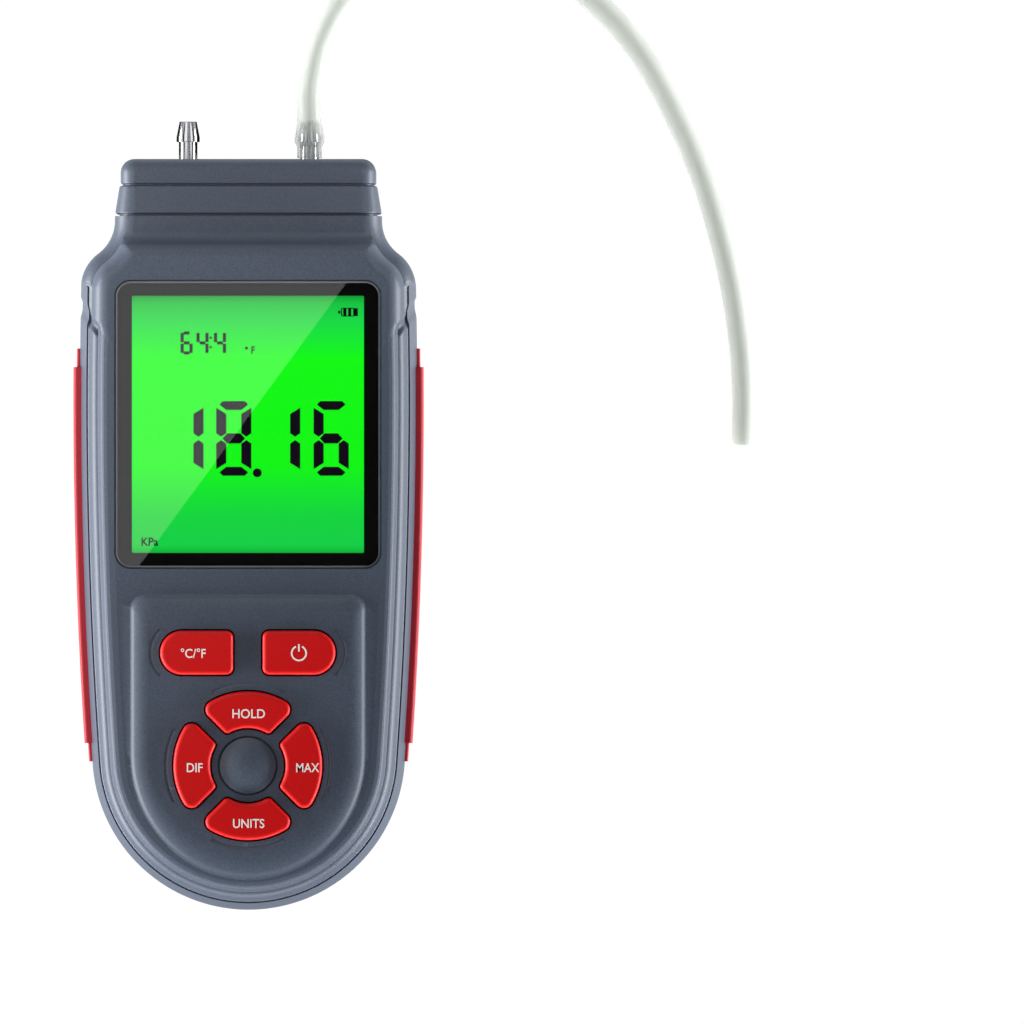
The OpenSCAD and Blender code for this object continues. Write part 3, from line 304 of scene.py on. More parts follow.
# %% [markdown]
# ### Metals
#
# The ports are turned brass with bright nickel and chrome plate: a mirror with only a breath of
# turning marks. Nuts are plain brass, screws and contacts are plated steel. Metals keep the
# shader's own IOR.

# %% Metals
def metal(name, color, roughness, size=0.5, height=0.002):
    return grain(material(name, color, roughness, Metallic=1.0), size, height)


chrome = metal("chrome plate", "97989b", 0.12, 0.8, 0.00005)
chrome.node_tree.nodes["Principled BSDF"].inputs["Specular Tint"].default_value = (
    0.12, 0.12, 0.12, 1)
brass = metal("turned brass", "c9a55c", 0.25)
zinc = metal("zinc plated steel", "a9abb0", 0.32)
nickel = metal("nickel plated steel", "c2c0ba", 0.28)
print("metals:", [m.name for m in (chrome, brass, zinc, nickel)])

# %% [markdown]
# ### Window, display and inner parts
#
# The window is clear acrylic, IOR 1.49. The display glows by itself, so it is an emitter with a
# small drift from edge to centre, as a side-lit guide gives. Its dark segments are a deep violet
# black, as a crossed polariser leaves them.

# %% Window and display
acrylic = grain(material("clear acrylic", "ffffff", 0.0, IOR=1.49, Transmission_Weight=1.0),
                60.0, 0.0001)
acrylic_edge = grain(material("cut acrylic edge", "a9acae", 0.3, IOR=1.49), 0.5, 0.004)
mask_ink = grain(material("black back print", "0a0909", 0.6, Specular_IOR_Level=0.0), 0.5,
                 0.0005)
segment_black = grain(material("dark display segment", "1a0622", 0.5, Specular_IOR_Level=0.0),
                      0.4, 0.001)

lcd_green = material("backlit liquid crystal", "041004", 0.6, Emission_Strength=1.0,
                     Specular_IOR_Level=0.1)
glow_half = 27.65
tree = lcd_green.node_tree
place = add(tree, "ShaderNodeTexCoord").outputs["Object"]
split = add(tree, "ShaderNodeSeparateXYZ", {"Vector": place})
glow = add(tree, "ShaderNodeMapRange", {"Value": split.outputs["Y"]},
           From_Min=(lens_y - glow_half) * MM, From_Max=(lens_y + glow_half) * MM)
ramp = add(tree, "ShaderNodeValToRGB", {"Fac": glow.outputs["Result"]})
GLOW = ((0.0, "0bb436"), (0.03, "0ed446"), (0.14, "0cd93e"), (0.33, "08fa0c"), (0.76, "08ff0a"),
        (0.91, "14dc48"), (0.97, "12c840"), (1.0, "0ca034"))
for place_, code in GLOW[1:-1]:
    ramp.color_ramp.elements.new(place_)
for element, (place_, code) in zip(ramp.color_ramp.elements, GLOW):
    element.position, element.color = place_, linear(code)
tree.links.new(ramp.outputs["Color"], tree.nodes["Principled BSDF"].inputs["Emission Color"])

board_green = grain(material("solder mask on laminate", "0f4a26", 0.35), 1.2, 0.004, mottle=0.1)
guide_white = grain(material("light guide acrylic", "e9efe9", 0.3, IOR=1.49), 0.6, 0.004)
strip_grey = grain(material("layered silicone strip", "77787c", 0.6), 0.3, 0.01, mottle=0.3)
sensor_white = grain(material("moulded sensor body", "c9c8be", 0.45), 0.4, 0.006)
cell_blue = grain(material("printed cell sleeve", "27467f", 0.3), 0.8, 0.003, mottle=0.05)
print("materials so far:", len(bpy.data.materials))

# %% [markdown]
# ### Silicone hose
#
# Milky silicone scatters light through its wall and still lets the port inside show. Refraction
# through two close walls would hide the port, so the material scatters below its surface and is
# half clear instead. Its IOR is about 1.41.

# %% Hose and inner tubes
hose_silicone = grain(material("milky silicone", "c3c8c3", 0.4, IOR=1.41, Alpha=0.52,
                               Subsurface_Weight=1.0, Subsurface_Scale=1.0),
                      0.7, 0.006)
hose_silicone.node_tree.nodes["Principled BSDF"].inputs["Subsurface Radius"].default_value = (
    0.003, 0.003, 0.0028)
inner_silicone = grain(material("soft white silicone", "dfe3e6", 0.4, IOR=1.41), 0.7, 0.006)
print("silicones:", hose_silicone.name, "and", inner_silicone.name)

# %% [markdown]
# ## Camera
#
# The instrument is seen squarely from above through a long lens. The view's centre is a place on
# the table, worked out from the part of the photographed frame that the instrument fills.

# %% Camera
FRAME_W = 220.2
VIEW_X, VIEW_Y = 56.8, 0.75
CAMERA_Z = 5000.0
SENSOR = 36.0

camera_data = bpy.data.cameras.new("camera")
camera_data.sensor_width = SENSOR
camera_data.lens = SENSOR * (CAMERA_Z - body_h) / FRAME_W
camera_data.clip_start = 0.05
camera_data.clip_end = 20
camera = link(bpy.data.objects.new("camera", camera_data))
camera.location = (VIEW_X * MM, VIEW_Y * MM, CAMERA_Z * MM)
bpy.context.scene.camera = camera
print("lens:", round(camera_data.lens), "mm")

# %% [markdown]
# ## Hose
#
# One length of soft silicone tube leaves the right port, sinks to the table, bends round and comes
# back beside the instrument to its cut end. The route's points are those of the solid model. The
# tube is hollow: an outer and an inner wall, stretched where it goes over the barb. A smooth
# curve runs through the chosen points.

# %% Hose
hose_d = 5.4
shank_r, barb_r, tip_r, barb_l, land_l = 2.0, 2.5, 1.85, 4.4, 1.0
nozzle_x, nozzle_z = 13.1, 14.5
barb_y = y_face + nozzle_l - barb_l
hose_route = [
    [13, 91, 14], [15, 101, 12], [20, 111, 9], [28, 119, 6], [38, 123, 4],
    [49, 124, 3], [60, 121, 3], [70, 115, 3], [79, 107, 3], [86, 98, 3],
    [92, 87, 3], [97, 76, 3], [101, 64, 3], [104, 52, 3], [106, 40, 3],
    [107, 28, 3], [107, 15, 3]
]
hose_head = [y_face + 0.3, barb_y - land_l, barb_y, barb_y + land_l, y_face + nozzle_l,
             y_face + nozzle_l + hose_d / 2]
route = [Vector((nozzle_x, y, nozzle_z)) for y in hose_head] + [Vector(p) for p in hose_route]


def through(points, steps):
    """A smooth curve through points, with its place counted in points."""
    out = []
    last = len(points) - 1
    for i in range(last):
        a, b = points[max(i - 1, 0)], points[i]
        c, d = points[i + 1], points[min(i + 2, last)]
        tb = (c - a) * (c - b).length / ((c - b).length + max((b - a).length, 1e-6))
        tc = (d - b) * (c - b).length / ((c - b).length + max((d - c).length, 1e-6))
        for k in range(steps):
            t = k / steps
            out.append((i + t, b * (1 + 2 * t) * (1 - t) ** 2 + tb * t * (1 - t) ** 2
                        + c * (3 - 2 * t) * t * t + tc * (t - 1) * t * t))
    return out + [(float(last), points[last].copy())]


def swell(place):
    """How far the tube is stretched over the barb at a place along its head."""
    if place <= 1 or place >= 4:
        return 0.0
    return place - 1 if place < 2 else 1.0 if place < 3 else 1 - (place - 3)


def tube(name, path, outer, inner, sides):
    """A hollow tube along a path, with its rings kept level by carrying one side along."""
    points, side = [], Vector((0, 0, 1))
    rings = [[], []]
    for i, p in enumerate(path):
        run = (path[min(i + 1, len(path) - 1)] - path[max(i - 1, 0)]).normalized()
        side = (side - run * side.dot(run)).normalized()
        across = run.cross(side)
        for wall, r in ((0, outer[i]), (1, inner[i])):
            rings[wall].append(len(points))
            points += [p + (side * math.cos(2 * math.pi * k / sides)
                            + across * math.sin(2 * math.pi * k / sides)) * r
                       for k in range(sides)]
    faces = []
    for i in range(len(path) - 1):
        for k in range(sides):
            q = (k + 1) % sides
            for wall in rings:
                a, b = wall[i], wall[i + 1]
                faces.append([a + k, a + q, b + q, b + k])
    for i in (0, -1):
        a, b = rings[0][i], rings[1][i]
        faces += [[a + k, a + (k + 1) % sides, b + (k + 1) % sides, b + k]
                  for k in range(sides)]
    return make_mesh(name, points, faces, math.radians(50))


placed = through(route, 6)
hose_path = [p for _, p in placed]
stretch = [swell(s) for s, _ in placed]
skin_in = 0.02
outer = [hose_d / 2 - skin_in + (barb_r - shank_r) * w for w in stretch]
# the inner wall presses a little into the port, as a tight fit with no air between
press_in = 0.03
inner = [shank_r - press_in + (barb_r - shank_r) * w for w in stretch]
hose = tube("hose", hose_path, outer, inner, 40)
hose.data.materials.append(hose_silicone)
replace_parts(hose, "pressure_hose")
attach(hose, "case")

# %% [markdown]
# ## Front cover
#
# The cover is a skin lofted over stations round the outline: the round end, the long side, the
# shoulder and the flare into the neck. Across each station runs a profile: an upright skirt, a
# leaning flank, a V groove, a rounded rail and the round edge of the display face. Past a slanted
# notch near the shoulders the rail gives way to a plain round, and on the neck to a low step.

# %% Profiles of the front cover
def face_height(x, y):
    """Height of the display face, which slopes down to the neck and its two corners."""
    u = max(y - y_slope, (abs(x) - slope_x) * math.sin(slope_turn)
            + (y - y_slope) * math.cos(slope_turn))
    r = (neck_drop ** 2 + slope_l ** 2) / (4 * neck_drop)
    if u <= 0:
        return body_h
    if u < slope_l / 2:
        return body_h - r + math.sqrt(r * r - u * u)
    if u < slope_l:
        return neck_z + r - math.sqrt(r * r - (slope_l - u) ** 2)
    return neck_z


def edge_height(d):
    """Height of the round edge of the display face at an inset."""
    return body_h - edge_r + math.sqrt(max(edge_r ** 2 - max(upper_in - d, 0) ** 2, 0))


def neck_height(d):
    """Height of the neck at an inset: a round edge, then a face that rises a little."""
    return (neck_z - neck_round
            + math.sqrt(neck_round ** 2 - max(neck_round - d, 0) ** 2)
            + 0.02 * max(d - neck_round, 0))


def between(a, b, t):
    return tuple(p + (q - p) * t for p, q in zip(a, b))


flank = [(0, rear_h), (0, rear_h + skirt_h), (flank_in, groove_z),
         (flank_in + 0.25, groove_z - 0.12)]
rail_in, rail_foot, rail_reach, rail_rise = 2.0, groove_z + 0.1, 2.4, 3.6
riser = [(4.15, 30.85), (4.55, 32.0), (4.85, 32.42), (5.3, 32.68), (6.0, 32.88), (7.4, body_h)]


def along(points, u):
    i = min(int(u), len(points) - 2)
    return between(points[i], points[i + 1], u - i)


def rail_at(u):
    """Inset and height of the railed side, with u from 0 at the parting line to 11. The rail is
    a quarter ellipse, and a steep riser leads from it to the face."""
    if u <= 3:
        return along(flank, u)
    first = (rail_in, rail_foot)
    if u <= 4:
        return between(flank[3], first, u - 3)
    if u <= 8:
        a = math.radians(80 * (u - 4) / 4)
        return rail_in + rail_reach * (1 - math.cos(a)), rail_foot + rail_rise * math.sin(a)
    return along(riser, (u - 8) * 5 / 3)


def edge_at(u):
    """The same past the notch, where one round runs from the groove to the face."""
    if u <= 2:
        return along(flank, u)
    if u <= 3:
        return between(flank[2], (flank[3][0], groove_z - 0.15), u - 2)
    ledge = (ledge_in, groove_z + groove_w)
    if u <= 4:
        return between((flank[3][0], groove_z - 0.15), ledge, u - 3)
    first = (upper_in - edge_r, edge_height(upper_in - edge_r))
    if u <= 5:
        return between(ledge, first, u - 4)
    d = upper_in - edge_r * math.cos(math.radians(15 * (u - 5)))
    return d, edge_height(d)


def neck_in(u):
    """Inset on the neck, which has a height formula of its own."""
    if u <= 1:
        return 0.0
    if u <= 4:
        return neck_round * (1 - math.cos(math.radians(16 * (u - 1))))
    d4 = neck_round * (1 - math.cos(math.radians(48)))
    if u <= 5:
        return d4 + (ledge_in - d4) * (u - 4)
    d6 = upper_in - edge_r * math.cos(math.radians(15))
    if u <= 6:
        return ledge_in + (d6 - ledge_in) * (u - 5)
    return upper_in - edge_r * math.cos(math.radians(15 * (u - 5)))


print("groove at", round(groove_z, 2), "mm, rail up to", round(rail_foot + rail_rise, 2), "mm")

# %% [markdown]
# A station is a point of the outline with the direction inward. On the round stretches it is a
# centre, a radius and an angle, so every inset of it is exact.

# %% Stations round the right half of the outline
def station(cx, cy, r, a, kind, side=1, lean=0.0, mix=1.0, dip=0.0):
    return {"c": (cx, cy), "r": r, "a": a, "side": side, "kind": kind, "lean": lean, "mix": mix,
            "dip": dip}


notch_flat, notch_fade = 0.5, 2.6


def notch_dip(back):
    """Share of the notch's depth at a distance back from its upper wall, along the outline."""
    if back < 0:
        return max(0.0, 1 + back / notch_flat)
    t = min(max((back - notch_flat) / notch_fade, 0.0), 1.0)
    return 1 - t * t * (3 - 2 * t)


def inset(st, d, lean=True):
    """The place of a station moved inward by d. Where a station leans, its inner end sinks back."""
    x = st["c"][0] + (st["r"] - st["side"] * d) * math.cos(st["a"])
    y = st["c"][1] + (st["r"] - st["side"] * d) * math.sin(st["a"])
    return x, y - (st["lean"] * d if lean else 0)


notch_in, notch_deep, close = 0.4, 0.6, 0.2
notch_b = math.asin((y_mouth - notch_drop - y_wide) / side_r)
notch_wall = math.atan(2 * groove_w / side_r)
lean_from = side_a0 + (notch_b - side_a0) * 7 / 9


def half_outline():
    """Stations from the round end to the mouth, closer together just before the notch."""
    out = []
    for i in range(73):
        a = -math.pi / 2 + (math.pi / 2 + side_a0) * i / 72
        out.append(station(0, y_round, end_r, a, "rail"))
    run = side_r * (notch_b - side_a0)
    steps = [run * i / 40 for i in range(1, 39)]
    steps += [run - 18 * close + close * i for i in range(19)]
    for step in steps:
        a = side_a0 + step / side_r
        lean = max(0.0, (a - lean_from) / (notch_b - lean_from)) * notch_lean
        out.append(station(side_x, y_wide, side_r, a, "rail", lean=lean,
                           dip=notch_dip(run - step)))
    a0 = notch_b + notch_wall
    for i in range(9):
        a = a0 + (side_a1 - a0) * i / 8
        out.append(station(side_x, y_wide, side_r, a, "edge", lean=notch_lean * (1 - i / 8),
                           dip=notch_dip(-side_r * (a - a0))))
    for i in range(1, 25):
        a = side_a1 + (corner_a - side_a1) * i / 24
        out.append(station(corner_x, corner_y, shoulder_r, a, "neck", mix=min(1, i / 4)))
    for i in range(1, 37):
        a = math.pi + corner_a * (1 - i / 36)
        out.append(station(flare_x, flare_y, flare_r, a, "neck", side=-1))
    # the mouth itself is square across, so nothing reaches past it
    while inset(out[-1], 0)[1] > y_mouth:
        out.pop()
    return out


def skin_point(st, u):
    if st["kind"] == "rail":
        d, z = rail_at(u)
        x, y = inset(st, d + notch_in * st["dip"] * (1 if u < 8 else 0))
        z -= notch_deep * st["dip"] * min(max(u - 1, 0) / 3, 1) * (1 if u < 8 else 0)
        return x, y, min(z, max(face_height(x, y), neck_z))
    d, z = edge_at(u)
    x, y = inset(st, d + (notch_in * st["dip"] if u < 4 else 0))
    edge = (x, y, min(z, max(face_height(x, y), neck_z)))
    if st["kind"] == "edge":
        return edge
    d = neck_in(u)
    x, y = inset(st, d)
    rise = max(0.0, min(edge_height(d), face_height(x, y)) - neck_z) if u > 5 else 0.0
    height = rear_h if u == 0 else neck_height(d) + rise
    neck = (x, y, height)
    return neck if st["mix"] >= 1 else between(edge, neck, st["mix"])


LEVELS = [0, 1] + [1 + k / 4 for k in range(1, 28)] + [8 + k / 10 for k in range(31)]
stations = half_outline()
print("stations:", len(stations), "levels:", len(LEVELS))

# %% [markdown]
# The skin joins the profiles of all stations to one closed solid. Half of it is made and the
# other half mirrored, because the cover is the same on both sides.

# %% Skin of the front cover
def mouth_point(u):
    """The neck's section where it ends at the mouth."""
    d = neck_in(u)
    return neck_x - d, y_mouth, rear_h if u == 0 else neck_height(d)


def lofted(name, columns):
    """A closed solid from mirrored columns of points: columns run round the outline from the
    round end to the mouth, points run up each of them. The last ring is closed across."""
    rings = len(columns[0])
    mirrored = [[(-x, y, z) for x, y, z in c] for c in reversed(columns[1:])] + columns
    n = len(mirrored)
    points = [p for c in mirrored for p in c]
    faces = []
    for i in range(n - 1):
        for k in range(rings - 1):
            a, b = i * rings + k, (i + 1) * rings + k
            faces.append([a, b, b + 1, a + 1])
    half = n // 2
    for k in (0, rings - 1):
        for j in range(1, half + 1):
            left, right = (half - j) * rings + k, (half + j) * rings + k
            if j == 1:
                faces.append([half * rings + k, right, left])
            else:
                faces.append([left + rings, right - rings, right, left])
    faces.append([k for k in range(rings)] + [(n - 1) * rings + k
                                              for k in reversed(range(rings))])
    return make_mesh(name, points, faces)


columns = [[skin_point(st, u) for u in LEVELS] for st in stations]
columns.append([mouth_point(u) for u in LEVELS])
front = lofted("front_cover_skin", columns)
print("skin of the front cover:", len(front.data.vertices), "points")

# %% [markdown]
# The keypad stands on a low island whose edge is so soft that it has no line: its height follows
# a smooth step from foot to top. It is lofted between plain outlines, straight at the sides and
# elliptical round the end.

# %% Keypad island
island_w, island_r, island_top, island_h = body_w / 2 - 10.95, end_r - 6.6, 34.4, 1.2
island_falls = (4.4, 6.9, 4.1)


def island_outline(t):
    w, r = island_w - t * island_falls[0], island_r - t * island_falls[1]
    top, rc = y_round + island_top - t * island_falls[2], 3.0
    out = [(w * math.sin(a), y_round - r * math.cos(a))
           for a in [math.pi / 2 * i / 32 for i in range(33)]]
    out += arc(w - rc, top - rc, rc, 0, 90, 12)
    return out + [(-x, y) for x, y in reversed(out[1:])]


def lid(name, outlines, heights, z0):
    """A loft over outlines that closes flat at the top and at z0."""
    n = len(outlines[0])
    points = [(x, y, z0) for x, y in outlines[0]]
    for outline, z in zip(outlines, heights):
        points += [(x, y, z) for x, y in outline]
    rows = len(outlines) + 1
    faces = [list(range(n))[::-1], list(range((rows - 1) * n, rows * n))]
    for r in range(rows - 1):
        faces += [[r * n + i, r * n + (i + 1) % n, (r + 1) * n + (i + 1) % n, (r + 1) * n + i]
                  for i in range(n)]
    return make_mesh(name, points, faces)


def island_rise(t):
    """Share of the height at a share of the way in: a soft foot, then a long round."""
    foot = 0.22
    lead = min(t / foot, 1)
    return (1 - (1 - t) ** 2.6) * (lead * lead * (3 - 2 * lead) * 0.45 + 0.55)


shares = [i / 24 for i in range(25)]
island_sunk, island_root = 0.01, 1.5
island = lid("island", [island_outline(t) for t in shares],
             [body_h - island_sunk + (island_h + island_sunk) * island_rise(t)
              for t in shares], body_h - island_root)
print("island:", len(island.data.polygons), "faces")

# %% [markdown]
# ## Keys
#
# Six keys stand out of wells in the island. Two are wide, with one half-round end, and four are
# sectors of a ring round a dome, their sides parallel to the diagonals. The tops are flat with
# a round edge, and each carries a plain white word or sign.

# %% Outlines of the keys
wide_l, wide_b, wide_x, wide_corner = 15.7, 9.5, 11.0, 1.5
pad_ri, pad_ro, pad_gap, pad_corner_o, pad_corner_i = 8.1, 16.0, 3.0, 2.0, 1.0
key_z, key_foot, key_round, key_fall, key_gap = 35.36, 28.2, 0.95, 0.75, 0.35
pad_y, wide_y = y_round - 2.5, y_round + 21.8


def wide_outline(g):
    x0, x1, y1 = (wide_b - wide_l) / 2, wide_l / 2 - wide_corner, wide_b / 2 - wide_corner
    return (arc(x0, 0, wide_b / 2 + g, 90, 270, 36)
            + arc(x1, -y1, wide_corner + g, -90, 0, 10) + arc(x1, y1, wide_corner + g, 0, 90, 10))


def pad_outline(g):
    ro, ri = pad_ro - pad_corner_o, pad_ri + pad_corner_i
    to = 45 - math.degrees(math.asin((pad_gap / 2 + pad_corner_o) / ro))
    ti = 45 - math.degrees(math.asin((pad_gap / 2 + pad_corner_i) / ri))

    def spot(r, a):
        return r * math.cos(math.radians(a)), r * math.sin(math.radians(a))

    out = arc(0, 0, pad_ro + g, -to, to, 24)[1:-1]
    out += arc(*spot(ro, to), pad_corner_o + g, to, 135, 10)
    out += arc(*spot(ri, ti), pad_corner_i + g, 135, 180 + ti, 6)
    out += arc(0, 0, pad_ri - g, ti, -ti, 16)[1:-1]
    out += arc(*spot(ri, -ti), pad_corner_i + g, 180 - ti, 225, 6)
    return out + arc(*spot(ro, -to), pad_corner_o + g, 225, 360 - to, 10)


def placed_at(outline, cx, cy, turn):
    c, s = math.cos(math.radians(turn)), math.sin(math.radians(turn))
    return [(cx + x * c - y * s, cy + x * s + y * c) for x, y in outline]


KEYS = {
    "temp_unit": (wide_outline, (-wide_x, wide_y), 0),
    "power": (wide_outline, (wide_x, wide_y), 180),
    "max": (pad_outline, (0, pad_y), 0),
    "hold": (pad_outline, (0, pad_y), 90),
    "dif": (pad_outline, (0, pad_y), 180),
    "units": (pad_outline, (0, pad_y), 270),
}


def key_outline(name, g):
    shape, centre, turn = KEYS[name]
    return placed_at(shape(g), *centre, turn)


print("keys drawn:", len(KEYS))

# %% [markdown]
# A key is a moulded cap with a soft upper edge. It is a stack of its own outline, each one drawn
# in a little further as the edge turns over, which keeps the round even where sides meet.

# %% Keys themselves
for name in KEYS:
    turns = [9 * i for i in range(11)]
    falls = [key_round * (1 - math.cos(math.radians(t))) for t in turns]
    levels = [key_z - key_fall * (1 - math.sin(math.radians(t))) for t in turns]
    outlines = [key_outline(name, -f) for f in falls]
    piece = lid(name + "_cap", outlines, levels, key_foot)
    piece.data.materials.append(key_plastic)
    even_light(piece)
    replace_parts(piece, name + "_key")
    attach(piece, name + "_button")
print("keys:", list(KEYS))

# %% [markdown]
# The front cover is then finished the way its mould does it: the island is joined on, and the
# window recess, the wells, the thin crescents beside the keys and the ring round the dome are
# cut.

# %% Cuts in the front cover
dome_r, dome_h, dome_root, ring_w, ring_deep, over = 6.0, 1.1, 0.6, 0.45, 0.5, 1.0
top_z = body_h + island_h
lens_sink, lens_t, lens_bed = 0.3, 1.4, 0.2
ledge_z = body_h - lens_sink - lens_t - lens_bed
lens_w, lens_l, lens_r, lens_gap = 56.8, 61.5, 3.2, 0.35
view_w, view_l, view_gap = 49.9, 55.3, 0.8
cut_low, cut_high = 28, 40
arc_w, arc_deep, arc_high, pad_arc_r, wide_arc_r, arc_half = 0.5, 0.26, 0.3, 17.6, 6.8, 26


def crescent(name, centre, r, a0, a1):
    """A thin V groove on an arc."""
    r0, r1 = r - arc_w, r + arc_w
    profile = [(r0, arc_high), (r0, 0.0), (r, -arc_deep), (r1, 0.0), (r1, arc_high)]
    return lathe(name, profile, (centre[0], centre[1], top_z), 40, "Z", span=a1 - a0, start=a0)


carve(front, [island], "UNION")


def inner_line(d, y_stop):
    """The outline moved inward, cut square at y_stop."""
    half = [inset(st, d, False) for st in stations]
    half = [p for p in half if p[1] < y_stop]
    half.append((half[-1][0], y_stop))
    return half + [(-x, y) for x, y in reversed(half) if x > 0.01]


cuts = [prism("low_room", inner_line(side_wall, y_mouth + 1), rear_h - 1, neck_z - face_wall),
        prism("high_room", inner_line(upper_in, y_slope - face_wall), rear_h, body_h - face_wall),
        prism("recess", rounded(lens_w + 2 * lens_gap, lens_l + 2 * lens_gap, lens_r + lens_gap,
                                0, lens_y), ledge_z, cut_high),
        prism("window", rounded(view_w + 2 * view_gap, view_l + 2 * view_gap, view_gap,
                                0, lens_y), cut_low, ledge_z + over)]
cuts += [prism("well", key_outline(name, key_gap), cut_low, cut_high) for name in KEYS]
cuts += [crescent("arc", (0, pad_y), pad_arc_r, 90 * i - arc_half, 90 * i + arc_half)
         for i in range(4)]
wide_end = wide_x + (wide_l - wide_b) / 2
cuts += [crescent("arc", (-wide_end, wide_y), wide_arc_r, 134, 226),
         crescent("arc", (wide_end, wide_y), wide_arc_r, -46, 46)]
ring_out = dome_r + ring_w
cuts.append(lathe("ring", [(dome_r, -ring_deep), (ring_out, -ring_deep), (ring_out, over),
                           (dome_r, over)], (0, pad_y, top_z), 96, "Z"))
carve(front, cuts)
sphere_r = (dome_r ** 2 + dome_h ** 2) / (2 * dome_h)
dome_arc = [(sphere_r * math.sin(a), dome_h - sphere_r * (1 - math.cos(a)))
            for a in [math.asin(dome_r / sphere_r) * i / 16 for i in range(17)]]
dome = lathe("dome", [(0, -dome_root)] + dome_arc + [(dome_r, -dome_root)],
             (0, pad_y, top_z), 96, "Z")
for piece in (front, dome):
    piece.data.materials.clear()
    piece.data.materials.append(housing_abs)
    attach(piece, "case")
even_light(front)
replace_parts(front, "front_cover")
print("front cover:", len(front.data.polygons), "faces")

# %% [markdown]
# ## Rear cover
#
# The rear half is a plain tray with long round edges. The battery bay, the counterbores of the
# four screws and the flat for the cover are cut into it.

# %% Rear cover
def rear_point(st, t):
    """Up the rear edge: t is 0 at the back and 90 where the side is upright."""
    d = back_r * (1 - math.sin(math.radians(t))) + notch_in * st["dip"] * (t / 90) ** 2
    x, y = inset(st, d, lean=False)
    return x, y, back_r * (1 - math.cos(math.radians(t)))


turns = [6 * i for i in range(16)]
rear_columns = [[rear_point(st, t) for t in turns]
                + [(*inset(st, notch_in * st["dip"], False), rear_h)]
                for st in stations]
rear_columns.append([(neck_x - back_r * (1 - math.sin(math.radians(t))), y_mouth,
                      back_r * (1 - math.cos(math.radians(t)))) for t in turns]
                    + [(neck_x, y_mouth, rear_h)])
rear = lofted("rear_cover_skin", rear_columns)

bay_w, bay_l, bay_y, bay_top, seat_rim, seat_top = 32.7, 50.6, -60.3, 13.3, 1.2, 2.2
hook_half, hook_y0, hook_y1, hook_top = 3.3, -63.6, -59.8, 4.3
head_r, head_top = 2.75, 4
screws = [(neck_x - 2.8, y_mouth - 10), (end_r - 12.7, y_round - 16.7)]


def block(name, x0, x1, y0, y1, z0, z1):
    return prism(name, [(x0, y0), (x1, y0), (x1, y1), (x0, y1)], z0, z1)


cuts = [block("door_seat", -bay_w / 2 - seat_rim, bay_w / 2 + seat_rim, bay_y - seat_rim,
              bay_y + bay_l + seat_rim, -over, seat_top),
        block("bay", -bay_w / 2, bay_w / 2, bay_y, bay_y + bay_l, -over, bay_top)]
cuts += [block("hook_slot", s * bay_w / 4 - hook_half, s * bay_w / 4 + hook_half, hook_y0,
               hook_y1, seat_top, hook_top) for s in (-1, 1)]
for sx, sy in screws:
    for s in (-1, 1):
        cuts.append(lathe("bore", [(0, -over), (head_r, -over), (head_r, head_top),
                                   (0, head_top)], (s * sx, sy, 0), 48, "Z"))
carve(rear, cuts)
rear.data.materials.clear()
rear.data.materials.append(housing_abs)
even_light(rear)
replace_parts(rear, "rear_cover")
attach(rear, "case")
print("rear cover:", len(rear.data.polygons), "faces")

# %% [markdown]
# ## End cap
#
# The cap that carries the ports closes the neck. Its section is the neck's. Seen from above it has
# two tiers with a groove between them and a softly rounded outer edge.

# %% End cap
cap_step, cap_taper, tier_step, tier_gap, tier_gap_in, cap_round = 0.1, 0.9, 1.15, 0.4, 1.7, 3.0
y_tier = y_cap + tier_l


def cap_section(d):
    w, z0, z1 = neck_x - cap_step - d, cap_step + d, neck_z - cap_step - d
    rb, rt = max(back_r - d, 0.3), max(neck_round - d, 0.3)
    out = arc(w - rb, z0 + rb, rb, -90, 0, 16) + arc(w - rt, z1 - rt, rt, 0, 90, 16)
    return out + [(-x, z) for x, z in reversed(out)]


# each ring of the cap: its place along Y, and how far the section is drawn in there
spigot_in, spigot_l, plug_in, mouth_clear = side_wall + 0.4, 3.0, 0.9, 0.03
cap_rings = [(y_mouth - spigot_l, spigot_in), (y_mouth + mouth_clear, spigot_in),
             (y_mouth + mouth_clear, plug_in), (y_cap, plug_in), (y_cap, 0.35),
             (y_cap + 0.12, 0.1), (y_cap + 0.35, 0.0),
             (y_tier - 0.35, cap_taper - 0.03), (y_tier - 0.1, cap_taper + 0.12),
             (y_tier, cap_taper + 0.4), (y_tier + 0.1, tier_gap_in),
             (y_tier + tier_gap - 0.1, tier_gap_in), (y_tier + tier_gap, tier_step + 0.3),
             (y_tier + tier_gap + 0.15, tier_step + 0.06), (y_tier + tier_gap + 0.4, tier_step)]
cap_rings += [(y_face - cap_round * (1 - math.sin(math.radians(t))),
               tier_step + cap_round * (1 - math.cos(math.radians(t)))) for t in range(0, 91, 6)]
sections = [[(x, y, z) for x, z in cap_section(d)] for y, d in cap_rings]
m = len(sections[0])
points = [p for s in sections for p in s]
faces = [list(range(m)), list(range((len(sections) - 1) * m, len(sections) * m))[::-1]]
for r in range(len(sections) - 1):
    faces += [[r * m + i, r * m + (i + 1) % m, (r + 1) * m + (i + 1) % m, (r + 1) * m + i]
              for i in range(m)]
cap = make_mesh("end_cap_skin", points, faces, math.radians(35))
sink_r, sink_deep = 3.96, 2.3
carve(cap, [lathe("sink", [(0, -sink_deep), (sink_r, -sink_deep), (sink_r, over), (0, over)],
                  (s * nozzle_x, y_face, nozzle_z), 64) for s in (-1, 1)])
cap.data.materials.clear()
cap.data.materials.append(housing_abs)
even_light(cap)
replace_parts(cap, "end_cap")
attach(cap, "case")
print("end cap:", len(cap.data.polygons), "faces")

# %% [markdown]
# ## Ports
#
# Each port is turned in one piece: a collar sunk in the cap, a shank and a barb with a sharp
# crest that falls to the tip, and a bore right through. A lathe profile gives it clean edges.

